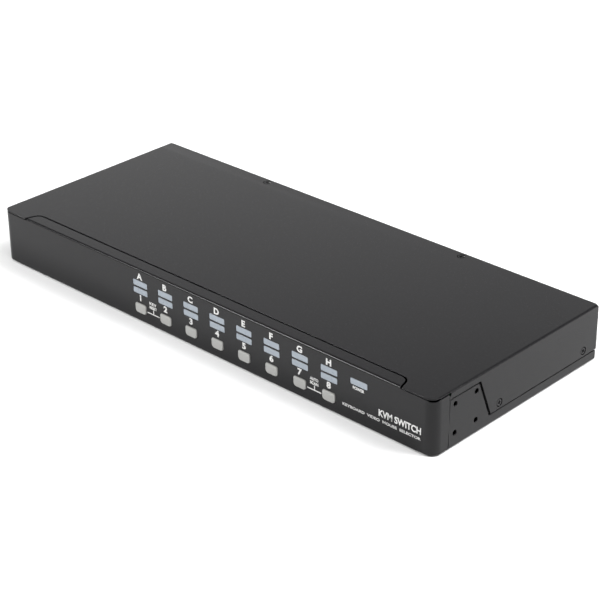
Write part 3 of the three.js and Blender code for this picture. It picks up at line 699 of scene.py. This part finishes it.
def rear_panel(sizes, ports):
    """The rear wall, cut for every port, with a flange folded forwards above and below."""
    low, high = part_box("rear_panel")
    room, nut_hole, inlet_hole = 0.0004, 0.0018, 0.005
    upper_flange, lower_flange = 0.011, 0.009
    holes = []
    for x, z in port_places(ports):
        holes.append([Vector((-px, pz)) for px, pz in reversed(d_outline(ports, x, z, room))])
        holes += [circle(-x + s * ports.jack_spacing / 2, z, nut_hole, 12) for s in (-1, 1)]
    usb_low, usb_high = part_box("console_usb_stack")
    usb, usb_size = (usb_low + usb_high) / 2, usb_high - usb_low
    holes.append(rectangle(-usb.x, usb.z, usb_size.x + 2 * room, usb_size.z + 2 * room, room))
    holes.append(circle(-middle("power_jack").x, POWER_Z, inlet_hole, 32))
    top = unfolded(high.z - sizes.bend, sizes.bend, upper_flange)
    foot = -unfolded(-low.z - sizes.bend, sizes.bend, lower_flange)
    blank = plate(rectangle(0, (top + foot) / 2, 2 * high.x, top - foot), holes, sizes.sheet, sizes.edge)
    fold(blank, (0, 1, 0), high.z - sizes.bend, sizes.bend)
    fold(blank, (0, -1, 0), -low.z - sizes.bend, sizes.bend)
    return placed(blank, facing(BACKWARD, (0, REAR_WALL, 0)))


def flat_screw(sizes):
    """A flat-headed screw with a cross recess, its face at z = 0."""
    head = sizes.screw_head
    shank, tip = 0.0014, 0.0009
    reach, tip_start = 0.006, 0.0056
    outer_inset, rim_inset, face_inset = 0.0001, 0.00012, 0.0003
    outer_drop, rim_drop = 0.00018, 0.00004
    profile = [
        (tip, -reach),
        (shank, -tip_start),
        (shank, -(head - shank)),
        (head - outer_inset, -outer_drop),
        (head - rim_inset, -rim_drop),
        (head - face_inset, 0.0),
    ]
    screw = bmesh.new()
    skin(screw, [at_height(circle(0, 0, radius, 32), z) for radius, z in profile])
    return recessed(screw, cross_recess())


def cross_recess():
    """A tapered cross, as the tip of the driver."""
    arm, waist, deep = 0.0018, 0.00058, 0.0018
    taper, above = 0.35, 0.0002
    corners = [(arm, -waist), (arm, waist), (waist, waist)]
    outline = []
    for quarter in range(4):
        turn = Matrix.Rotation(quarter * math.pi / 2, 2)
        outline += [turn @ Vector(corner) for corner in corners]
    cross = bmesh.new()
    skin(cross, [at_height([point * taper for point in outline], -deep), at_height(outline, above)])
    return cross


def recessed(bm, tool):
    """The mesh with the tool's shape cut out of it."""
    holders = []
    for name, part in (("body", bm), ("tool", tool)):
        mesh = bpy.data.meshes.new(name)
        part.to_mesh(mesh)
        part.free()
        holder = bpy.data.objects.new(name, mesh)
        bpy.context.scene.collection.objects.link(holder)
        holders.append(holder)
    body, cutter = holders
    cut = body.modifiers.new("cut", "BOOLEAN")
    cut.object = cutter
    cut.solver = "EXACT"
    result = bmesh.new()
    result.from_object(body, bpy.context.evaluated_depsgraph_get())
    for holder in holders:
        mesh = holder.data
        bpy.data.objects.remove(holder)
        bpy.data.meshes.remove(mesh)
    return result


# ---- controls ----


def push_button(sizes, x, z):
    """A milky key with rounded rims and a slightly bulging face, on the lip that holds it in."""
    cap = bmesh.new()
    face = sizes.button_proud - sizes.button_crown
    rim, rim_steps = 0.0006, 4
    rings = [at_height(button_outline(sizes, 0, 0), BEHIND_WALL)]
    for step in range(rim_steps + 1):
        angle = math.pi / 2 * step / rim_steps
        grow = rim * (math.cos(angle) - 1)
        rings.append(at_height(button_outline(sizes, 0, 0, grow), face - rim * (1 - math.sin(angle))))
    flat = rings[-1]
    for share in (0.8, 0.5, 0.2):
        height = face + sizes.button_crown * (1 - share**2)
        rings.append([Vector((point.x * share, point.y * share, height)) for point in flat])
    skin(cap, rings)
    more, lip_thickness = 0.002, 0.001
    lip_outline = rectangle(0, 0, sizes.button_width + more, sizes.button_height + more, 0.001)
    lip = lifted(plate(lip_outline, [], lip_thickness, MOULD_EDGE), BEHIND_WALL)
    stem = bmesh.new()
    stem_radius, stem_end, stem_top = 0.0022, -0.005, -0.0018
    skin(stem, [at_height(circle(0, 0, stem_radius), z) for z in (stem_end, stem_top)])
    return placed(joined(cap, lip, stem), facing(FORWARD, (x, FRONT, z)))


def window_outline(sizes, z, grow=0.0):
    """The outline of one light window in its column."""
    width, height = sizes.window_width + 2 * grow, sizes.window_height + 2 * grow
    return rectangle(0, z, width, height, sizes.window_corner)


def light_window(sizes, x, heights):
    """A light guide: one soft-rimmed bar for each window, joined by the plate behind the panel."""
    bar_back, bar_face, bar_edge = -0.0014, -0.00015, 0.0002
    stem_width, stem_height, stem_length, stem_front = 0.008, 0.003, 0.0058, -0.0022
    beside, above, thickness = 0.0012, 0.001, 0.001
    parts = []
    for z in heights:
        bar = bmesh.new()
        soft_block(bar, lambda grow, z=z: window_outline(sizes, z, grow), bar_back, bar_face, bar_edge)
        stem = plate(rectangle(0, z, stem_width, stem_height), [], stem_length, MOULD_EDGE)
        parts += [bar, lifted(stem, stem_front)]
    low, high = min(heights), max(heights)
    width = sizes.window_width + 2 * beside
    height = sizes.window_height + high - low + 2 * above
    backing = plate(rectangle(0, (low + high) / 2, width, height), [], thickness, MOULD_EDGE)
    parts.append(lifted(backing, BEHIND_WALL))
    return placed(joined(*parts), facing(FORWARD, (x, FRONT, 0)))


# ---- printed marks ----


def mark(text, x, z, height, weight=0.0, width=None, stretch=1.0):
    """Printed characters of the given height, thickened by `weight`, centred at x and standing on z."""
    curve = bpy.data.curves.new("mark", "FONT")
    curve.body = text
    thicker = weight * height
    curve.size = (height - 2 * thicker) / CAPITAL
    curve.offset = thicker
    curve.extrude = INK
    curve.resolution_u = 4
    bm = from_curve(curve)
    left = min(vert.co.x for vert in bm.verts)
    right = max(vert.co.x for vert in bm.verts)
    if width:
        stretch = width / (right - left)
    bmesh.ops.translate(bm, verts=bm.verts, vec=(-(left + right) / 2, thicker, INK))
    bmesh.ops.scale(bm, verts=bm.verts, vec=(stretch, 1, 1))
    return placed(bm, Matrix.Translation((x, z, 0)))


def stroke(x, z, width, height):
    """A printed bar."""
    bar = plate(rectangle(x, z, width, height), [], 2 * INK, INK / 4)
    return lifted(bar, 2 * INK)


def pair_mark(sizes, first, second, words):
    """The bracket that joins two buttons, with its words above: both pressed together do that."""
    left, right = middle(f"button_{first}"), middle(f"button_{second}")
    drop, line, room = 0.0005, 0.0008, 0.0011
    post, post_shift = 0.0034, 0.0003
    words_foot, words_pitch, word_height, word_width = 0.0041, 0.0032, 0.0023, 0.0078
    x, z = (left.x + right.x) / 2, left.z - drop
    gap = right.x - left.x - sizes.button_width
    parts = [stroke(x, z, gap - 2 * room, line), stroke(x + post_shift, z + (line + post) / 2, line, post)]
    for row, word in enumerate(reversed(words)):
        parts.append(mark(word, x, z + words_foot + words_pitch * row, word_height, 0.05, word_width))
    return joined(*parts)


def front_print(sizes):
    """Everything printed on the front: port letters, port numbers and a few plain words."""
    marks = []
    half_window = sizes.window_height / 2
    letter_gap, digit_gap, bold = 0.0014, 0.0005, 0.055
    for number, letter in enumerate(COLUMNS, 1):
        guide = middle(f"port_light_guide_{letter}")
        top = guide.z + sizes.window_pitch / 2 + half_window
        foot = guide.z - sizes.window_pitch / 2 - half_window
        marks.append(mark(letter, guide.x, top + letter_gap, sizes.letter_height, bold, stretch=1.12))
        digit_foot = foot - digit_gap - sizes.digit_height
        marks.append(mark(str(number), guide.x, digit_foot, sizes.digit_height, bold, stretch=1.15))
    marks.append(pair_mark(sizes, 1, 2, ("KEY", "RESET")))
    marks.append(pair_mark(sizes, 7, 8, ("AUTO", "SCAN")))
    power = middle("power_light_guide")
    power_height, power_width, power_gap = 0.0024, 0.0102, 0.0008
    power_foot = power.z - half_window - power_gap - power_height
    marks.append(mark("POWER", power.x, power_foot, power_height, 0.05, power_width))
    title_right, title_z, title_height, title_width = 0.0288, 0.0143, 0.0052, 0.0365
    marks.append(mark("KVM SWITCH", HALF - title_right, title_z, title_height, 0.04, title_width))
    line_right, line_z, line_height, line_width = 0.0449, 0.0099, 0.0021, 0.0685
    line = "KEYBOARD  VIDEO  MOUSE  SELECTOR"
    marks.append(mark(line, HALF - line_right, line_z, line_height, 0.03, line_width))
    return placed(joined(*marks), facing(FORWARD, (0, FRONT, 0)))


def rear_print(sizes):
    """The port numbers and plain words on the rear."""
    marks = []
    number_height, number_drop, number_gap = 0.002, 0.001, 0.0042
    word_height, word_lift = 0.0022, 0.0095
    beside = sizes.jack_spacing / 2 + number_gap
    for n in STACKS:
        x = -middle(f"host_port_stack_{n}").x - beside
        for number, z in ((n, sizes.upper), (n + len(STACKS), sizes.lower)):
            marks.append(mark(str(number), x, z - number_drop, number_height, 0.05))
    words = {"console_video_port": "CONSOLE", "daisy_chain_port": "CHAIN", "power_jack": "DC IN"}
    for node, word in words.items():
        marks.append(mark(word, -middle(node).x, sizes.lower + word_lift, word_height, 0.04))
    return placed(joined(*marks), facing(BACKWARD, (0, REAR_WALL, 0)))


# ---- ports ----


def d_shell(sizes, x, z):
    """The hollow metal shell of one D-sub port, with its flange behind the wall and its jack nuts."""
    wall = sizes.shell_wall
    inner = d_outline(sizes, x, z, -wall)
    behind, flange_width, flange_height, flange_thickness = 0.0018, 0.0308, 0.0125, 0.0008
    shell = lifted(plate(d_outline(sizes, x, z), [inner], SHELL_END + behind, wall * 0.45), SHELL_END)
    flange_outline = rectangle(x, z, flange_width, flange_height, 0.0012)
    flange = lifted(plate(flange_outline, [inner], flange_thickness, 0.0002), BEHIND_WALL)
    nuts = [jack_nut(x + s * sizes.jack_spacing / 2, z) for s in (-1, 1)]
    return joined(shell, flange, *nuts)


def jack_nut(x, z):
    """A hex jack nut with a bevelled rim and a threaded hole, on its shank."""
    outer, bore, nut_length, nut_face, nut_edge = 0.0027, 0.0014, 0.0048, 0.0051, 0.0003
    body = lifted(plate(circle(x, z, outer, 6), [circle(x, z, bore, 16)], nut_length, nut_edge), nut_face)
    crest, root, thread_start, half_pitch, turns = 0.00138, 0.0012, 0.0003, 0.00012, 14
    rings = []
    for turn in range(turns):
        radius = crest if turn % 2 else root
        rings.append(at_height(circle(x, z, radius, 16), thread_start + turn * half_pitch))
    thread = bmesh.new()
    skin(thread, rings)
    shank_radius, shank_end, shank_face = 0.0013, -0.0016, 0.0008
    shank = bmesh.new()
    skin(shank, [at_height(circle(x, z, shank_radius, 12), height) for height in (shank_end, shank_face)])
    return joined(body, thread, shank)


def d_insert(sizes, x, z):
    """The plastic block inside a shell, with three rows of contact holes."""
    contact_pitch, row_pitch, row_shift, contact = 0.0023, 0.002, 0.0005, 0.0005
    thickness, face_edge, face_drop, back_drop = 0.002, 0.00015, 0.0003, 0.0028
    holes = []
    for row in (-1, 0, 1):
        for place in range(-2, 3):
            holes.append(circle(x + place * contact_pitch + row * row_shift, z + row * row_pitch, contact, 8))
    fit = 0.0001
    outline = d_outline(sizes, x, z, -sizes.shell_wall - fit)
    face = lifted(plate(outline, holes, thickness, face_edge), SHELL_END - face_drop)
    back = lifted(plate(outline, [], thickness, MOULD_EDGE), SHELL_END - back_drop)
    return joined(face, back)


def port_housing(node):
    """The housing behind a port's flange, which stands on the main board."""
    low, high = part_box(node)
    nut_reach, beside, above, edge = 0.0072, 0.001, 0.001, 0.0004
    front = high.y - nut_reach
    width, height = high.x - low.x - 2 * beside, high.z - low.z - above
    outline = rectangle(-middle(node).x, (low.z + high.z - above) / 2, width, height)
    return lifted(plate(outline, [], front - low.y, edge), front - REAR_WALL)


def add_port(node, levels, sizes):
    """One port or stack of ports: its metal as one piece and its plastic as another."""
    x = -middle(node).x
    place = facing(BACKWARD, (0, REAR_WALL, 0))
    metal = placed(joined(port_housing(node), *[d_shell(sizes, x, z) for z in levels]), place)
    plastic = placed(joined(*[d_insert(sizes, x, z) for z in levels]), place)
    add_piece(f"{node}_metal", metal, nickel(), replaces=[node])
    add_piece(f"{node}_insert", plastic, port_plastic(sizes))


def usb_mouths():
    """The middle height of each USB mouth."""
    half_pitch = 0.0037
    usb = middle("console_usb_stack")
    return [usb.z + s * half_pitch for s in (-1, 1)]


def usb_can():
    """The metal can of the USB stack, open at both mouths, with its sprung contact strips."""
    low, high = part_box("console_usb_stack")
    x, z = -(low.x + high.x) / 2, (low.z + high.z) / 2
    mouth_width, mouth_height, mouth_depth, back_gap = 0.0125, 0.0051, 0.009, 0.0001
    outline = rectangle(x, z, high.x - low.x, high.z - low.z, 0.0005)
    mouths = [rectangle(x, mouth, mouth_width, mouth_height, 0.0003) for mouth in usb_mouths()]
    walls = plate(outline, mouths, mouth_depth, 0.00012)
    back_start = mouth_depth + back_gap
    back = lifted(plate(outline, [], high.y - low.y - back_start, 0.0002), -back_start)
    strip_x, strip_z, strip_width, strip_height = 0.003, 0.0023, 0.0018, 0.0005
    strip_length, strip_start = 0.006, -0.0012
    springs = []
    for mouth in usb_mouths():
        for side in (-1, 1):
            strip_outline = rectangle(x + side * strip_x, mouth + strip_z, strip_width, strip_height)
            springs.append(lifted(plate(strip_outline, [], strip_length, MOULD_EDGE), strip_start))
    return placed(joined(walls, back, *springs), facing(BACKWARD, (0, high.y, 0)))


def usb_tongues():
    """The contact tongue in each USB mouth."""
    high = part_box("console_usb_stack")[1]
    x = -middle("console_usb_stack").x
    lift, width, height, depth, sunk = 0.0009, 0.011, 0.0017, 0.0082, 0.0009
    outlines = [rectangle(x, mouth + lift, width, height) for mouth in usb_mouths()]
    tongues = [plate(outline, [], depth, 0.00015) for outline in outlines]
    return placed(joined(*tongues), facing(BACKWARD, (0, high.y - sunk, 0)))


def usb_contacts():
    """The four flat contacts under each USB tongue."""
    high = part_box("console_usb_stack")[1]
    x = -middle("console_usb_stack").x
    pitch, drop, width, height, depth, sunk = 0.0023, 0.00002, 0.001, 0.0002, 0.007, 0.0015
    contacts = []
    for mouth in usb_mouths():
        for place in (-1.5, -0.5, 0.5, 1.5):
            outline = rectangle(x + place * pitch, mouth - drop, width, height)
            contacts.append(plate(outline, [], depth, INK))
    return placed(joined(*contacts), facing(BACKWARD, (0, high.y - sunk, 0)))


def power_inlet():
    """The round inlet: a moulded nose with a deep bore, on its housing."""
    low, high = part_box("power_jack")
    x = -middle("power_jack").x
    nose_radius, nose_length, edge = 0.0046, 0.0095, 0.0002
    housing_front, bore_depth, back_front, back_depth = -0.0018, 0.0077, -0.0096, 0.0044
    bore = circle(x, POWER_Z, POWER_BORE, 32)
    outline = rectangle(x, (low.z + high.z) / 2, high.x - low.x, high.z - low.z, 0.0005)
    nose = plate(circle(x, POWER_Z, nose_radius, 40), [bore], nose_length, edge)
    housing = lifted(plate(outline, [bore], bore_depth, edge), housing_front)
    back = lifted(plate(outline, [], back_depth, edge), back_front)
    return placed(joined(nose, housing, back), facing(BACKWARD, (0, high.y, 0)))


def power_pin():
    """The centre pin of the power inlet, with a rounded tip."""
    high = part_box("power_jack")[1]
    x = -middle("power_jack").x
    radius, pin_end, pin_tip, tip_round = 0.001, -0.0094, -0.0006, 0.0006
    pin = bmesh.new()
    soft_block(pin, lambda grow: circle(x, POWER_Z, radius + grow, 20), pin_end, pin_tip, tip_round)
    return placed(pin, facing(BACKWARD, (0, high.y, 0)))


# ---- studio ----


def studio_floor(settings):
    """A wide pale floor just under the object."""
    reach, drop = 6, 0.0002
    floor = bmesh.new()
    bmesh.ops.create_grid(floor, x_segments=2, y_segments=2, size=reach)
    mesh = bpy.data.meshes.new("studio floor")
    floor.to_mesh(mesh)
    floor.free()
    mesh.materials.append(grained("pale floor", settings.floor_colour, 0.8, 0.02, 0.00001, 0.005, 0.02))
    piece = bpy.data.objects.new("studio_floor", mesh)
    piece.location.z = -drop
    bpy.context.scene.collection.objects.link(piece)


def softbox(name, azimuth, elevation, distance, size, power):
    """A square lamp that looks at the object, placed by its angles from straight ahead of the front."""
    lamp = bpy.data.lights.new(name, "AREA")
    lamp.shape = "RECTANGLE"
    lamp.size, lamp.size_y = size
    lamp.energy = power
    holder = bpy.data.objects.new(name, lamp)
    a, e = math.radians(azimuth), math.radians(elevation)
    away = Vector((math.sin(a) * math.cos(e), -math.cos(a) * math.cos(e), math.sin(e)))
    holder.location = away * distance
    holder.rotation_euler = away.to_track_quat("Z", "Y").to_euler()
    bpy.context.scene.collection.objects.link(holder)


def faded(nodes, span, strength):
    """A node that turns its value, as it crosses the span, from the first strength to the last."""
    fade = nodes.new("ShaderNodeMapRange")
    fade.inputs["From Min"].default_value, fade.inputs["From Max"].default_value = span
    fade.inputs["To Min"].default_value, fade.inputs["To Max"].default_value = strength
    return fade


def studio_sky():
    """Soft light from all round, dimmed overhead and in front of the object."""
    world = bpy.data.worlds.new("studio")
    world.use_nodes = True
    nodes, links = world.node_tree.nodes, world.node_tree.links
    way = nodes.new("ShaderNodeTexCoord")
    split = nodes.new("ShaderNodeSeparateXYZ")
    overhead = faded(nodes, (0.3, 0.65), (1.25, 0.12))
    ahead = faded(nodes, (-0.8, 0.5), (0.15, 1.0))
    product = nodes.new("ShaderNodeMath")
    product.operation = "MULTIPLY"
    links.new(way.outputs["Generated"], split.inputs["Vector"])
    links.new(split.outputs["Z"], overhead.inputs["Value"])
    links.new(split.outputs["Y"], ahead.inputs["Value"])
    links.new(overhead.outputs["Result"], product.inputs[0])
    links.new(ahead.outputs["Result"], product.inputs[1])
    links.new(product.outputs[0], nodes["Background"].inputs["Strength"])
    nodes["Background"].inputs["Color"].default_value = (1, 1, 1, 1)
    bpy.context.scene.world = world


def studio_lamps():
    """Four softboxes: angles from straight ahead, height angle, distance, size and power."""
    softbox("key", 122, 52, 2.2, (1.0, 1.0), 54)
    softbox("fill", 40, 72, 2.4, (1.2, 1.2), 24)
    softbox("strip", -40, 31, 2.4, (0.6, 0.4), 38)
    softbox("back_left", 234, 10, 2.6, (1.6, 0.5), 1)


def studio_camera(settings):
    """The camera, turned to its aim and rolled a little."""
    azimuth, elevation = settings.azimuth, settings.elevation
    back = Vector((
        math.sin(azimuth) * math.cos(elevation),
        -math.cos(azimuth) * math.cos(elevation),
        math.sin(elevation),
    ))
    level = Vector((math.cos(azimuth), math.sin(azimuth), 0))
    upright = back.cross(level)
    right = level * math.cos(settings.roll) + upright * math.sin(settings.roll)
    up = upright * math.cos(settings.roll) - level * math.sin(settings.roll)
    aim = Vector((settings.aim_right, FRONT + settings.aim_back, settings.aim_up))
    camera = bpy.data.cameras.new("camera")
    camera.lens = settings.lens
    camera.sensor_width = 36
    holder = bpy.data.objects.new("camera", camera)
    turn = Matrix((right, up, back)).transposed().to_4x4()
    holder.matrix_world = Matrix.Translation(aim + back * settings.distance) @ turn
    bpy.context.scene.collection.objects.link(holder)
    bpy.context.scene.camera = holder


# ---- operators ----


class KVM_OT_case(bpy.types.Operator):
    """Fold the cover, the front, the tray and the rear wall"""

    bl_idname = "kvm.case"
    bl_label = "Case"

    def execute(self, context):
        sizes = context.scene.kvm_case
        controls = context.scene.kvm_controls
        ports = context.scene.kvm_ports
        paint = powder_coat(sizes)
        add_piece("cover_sheet", top_cover(sizes), paint, replaces=["top_cover"])
        add_piece("front_sheet", front_panel(sizes, controls), paint, replaces=["front_panel"])
        add_piece("tray_sheet", base_tray(sizes), paint, replaces=["base_tray"])
        add_piece("rear_sheet", rear_panel(sizes, ports), paint, replaces=["rear_panel"])
        return {"FINISHED"}


class KVM_OT_screws(bpy.types.Operator):
    """Add the cover's flat-headed screws"""

    bl_idname = "kvm.screws"
    bl_label = "Cover screws"

    def execute(self, context):
        sizes = context.scene.kvm_case
        for side, sign in SIDES.items():
            out = Vector((sign, 0, 0))
            for end in ("front", "rear"):
                self.add(sizes, f"side_screw_{side}_{end}", out, sign * HALF)
            self.add(sizes, f"top_screw_{side}", UPWARD, TOP)
        return {"FINISHED"}

    def add(self, sizes, node, out, face):
        place = middle(node)
        sunk = 0.0002
        if out.z:
            place.z = face - sunk
        else:
            place.x = face - out.x * sunk
        any_turn = math.radians(len(node) * 37)  # so that the recesses don't all line up
        tilt = Matrix.Rotation(any_turn, 4, "Z")
        screw = placed(flat_screw(sizes), facing(out, place) @ tilt)
        add_piece(f"{node}_detail", screw, screw_black(), replaces=[node])


class KVM_OT_buttons(bpy.types.Operator):
    """Add the eight push buttons"""

    bl_idname = "kvm.buttons"
    bl_label = "Push buttons"

    def execute(self, context):
        sizes = context.scene.kvm_controls
        for number in range(1, len(COLUMNS) + 1):
            node = f"button_{number}"
            place = middle(node)
            key = push_button(sizes, place.x, place.z)
            add_piece(f"{node}_key", key, button_plastic(sizes), node, [node])
        return {"FINISHED"}


class KVM_OT_windows(bpy.types.Operator):
    """Add the light windows above the buttons"""

    bl_idname = "kvm.windows"
    bl_label = "Light windows"

    def execute(self, context):
        sizes = context.scene.kvm_controls
        plastic = window_plastic(sizes)
        for letter in COLUMNS:
            node = f"port_light_guide_{letter}"
            place = middle(node)
            heights = [place.z + sign * sizes.window_pitch / 2 for sign in (-1, 1)]
            guide = light_window(sizes, place.x, heights)
            add_piece(f"port_windows_{letter}", guide, plastic, replaces=[node])
        place = middle("power_light_guide")
        guide = light_window(sizes, place.x, [place.z])
        add_piece("power_window", guide, plastic, replaces=["power_light_guide"])
        return {"FINISHED"}


class KVM_OT_print(bpy.types.Operator):
    """Print the marks on the front and the rear"""

    bl_idname = "kvm.print"
    bl_label = "Printed marks"

    def execute(self, context):
        controls = context.scene.kvm_controls
        ink = white_ink(controls)
        add_piece("front_print", front_print(controls), ink)
        add_piece("rear_print", rear_print(context.scene.kvm_ports), ink)
        return {"FINISHED"}


class KVM_OT_ports(bpy.types.Operator):
    """Add the D-sub ports, the USB stack and the power inlet"""

    bl_idname = "kvm.ports"
    bl_label = "Ports"

    def execute(self, context):
        sizes = context.scene.kvm_ports
        for number in STACKS:
            add_port(f"host_port_stack_{number}", (sizes.lower, sizes.upper), sizes)
        add_port("console_video_port", (sizes.lower,), sizes)
        add_port("daisy_chain_port", (sizes.lower,), sizes)
        add_piece("usb_can", usb_can(), nickel(), replaces=["console_usb_stack"])
        add_piece("usb_tongues", usb_tongues(), white_plastic())
        add_piece("usb_contacts", usb_contacts(), gold())
        add_piece("power_inlet", power_inlet(), black_plastic(), replaces=["power_jack"])
        add_piece("power_pin", power_pin(), nickel())
        return {"FINISHED"}


class KVM_OT_inside(bpy.types.Operator):
    """Give the boards, the cable, the switches and the board screws their finishes"""

    bl_idname = "kvm.inside"
    bl_label = "Inside"

    def execute(self, context):
        finishes = {
            "front_board": solder_mask(),
            "main_board": solder_mask(),
            "front_flat_cable": cable_grey(),
            "board_screw_left": zinc(),
            "board_screw_right": zinc(),
        }
        for number in range(1, len(COLUMNS) + 1):
            finishes[f"switch_body_{number}"] = black_plastic()
            finishes[f"switch_plunger_{number}"] = white_plastic()
        for node, finish in finishes.items():
            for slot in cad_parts[node].material_slots:
                slot.material = finish
        return {"FINISHED"}


class KVM_OT_studio(bpy.types.Operator):
    """Set up the floor, the lamps and the camera"""

    bl_idname = "kvm.studio"
    bl_label = "Studio"

    def execute(self, context):
        settings = context.scene.kvm_studio
        studio_floor(settings)
        studio_sky()
        studio_lamps()
        studio_camera(settings)
        context.scene.view_settings.view_transform = "Standard"
        return {"FINISHED"}


class KVM_PT_panel(bpy.types.Panel):
    """The switch's pieces and their sizes"""

    bl_label = "KVM Switch"
    bl_idname = "KVM_PT_panel"
    bl_space_type = "VIEW_3D"
    bl_region_type = "UI"
    bl_category = "KVM Switch"

    def draw(self, context):
        for operator in OPERATORS:
            self.layout.operator(operator.bl_idname)
        for name in SETTINGS:
            group = getattr(context.scene, name)
            box = self.layout.box()
            for prop in group.bl_rna.properties:
                if prop.identifier not in ("rna_type", "name"):
                    box.prop(group, prop.identifier)


SETTINGS = {
    "kvm_case": CaseSizes,
    "kvm_controls": ControlSizes,
    "kvm_ports": PortSizes,
    "kvm_studio": StudioSettings,
}
OPERATORS = (
    KVM_OT_case,
    KVM_OT_screws,
    KVM_OT_buttons,
    KVM_OT_windows,
    KVM_OT_print,
    KVM_OT_ports,
    KVM_OT_inside,
    KVM_OT_studio,
)


def register():
    for name, group in SETTINGS.items():
        bpy.utils.register_class(group)
        setattr(bpy.types.Scene, name, PointerProperty(type=group))
    for cls in (*OPERATORS, KVM_PT_panel):
        bpy.utils.register_class(cls)


def unregister():
    for cls in (KVM_PT_panel, *reversed(OPERATORS)):
        bpy.utils.unregister_class(cls)
    for name, group in SETTINGS.items():
        delattr(bpy.types.Scene, name)
        bpy.utils.unregister_class(group)


def main():
    register()
    bpy.ops.kvm.case()
    bpy.ops.kvm.screws()
    bpy.ops.kvm.buttons()
    bpy.ops.kvm.windows()
    bpy.ops.kvm.print()
    bpy.ops.kvm.ports()
    bpy.ops.kvm.inside()
    bpy.ops.kvm.studio()


if __name__ == "__main__":
    main()
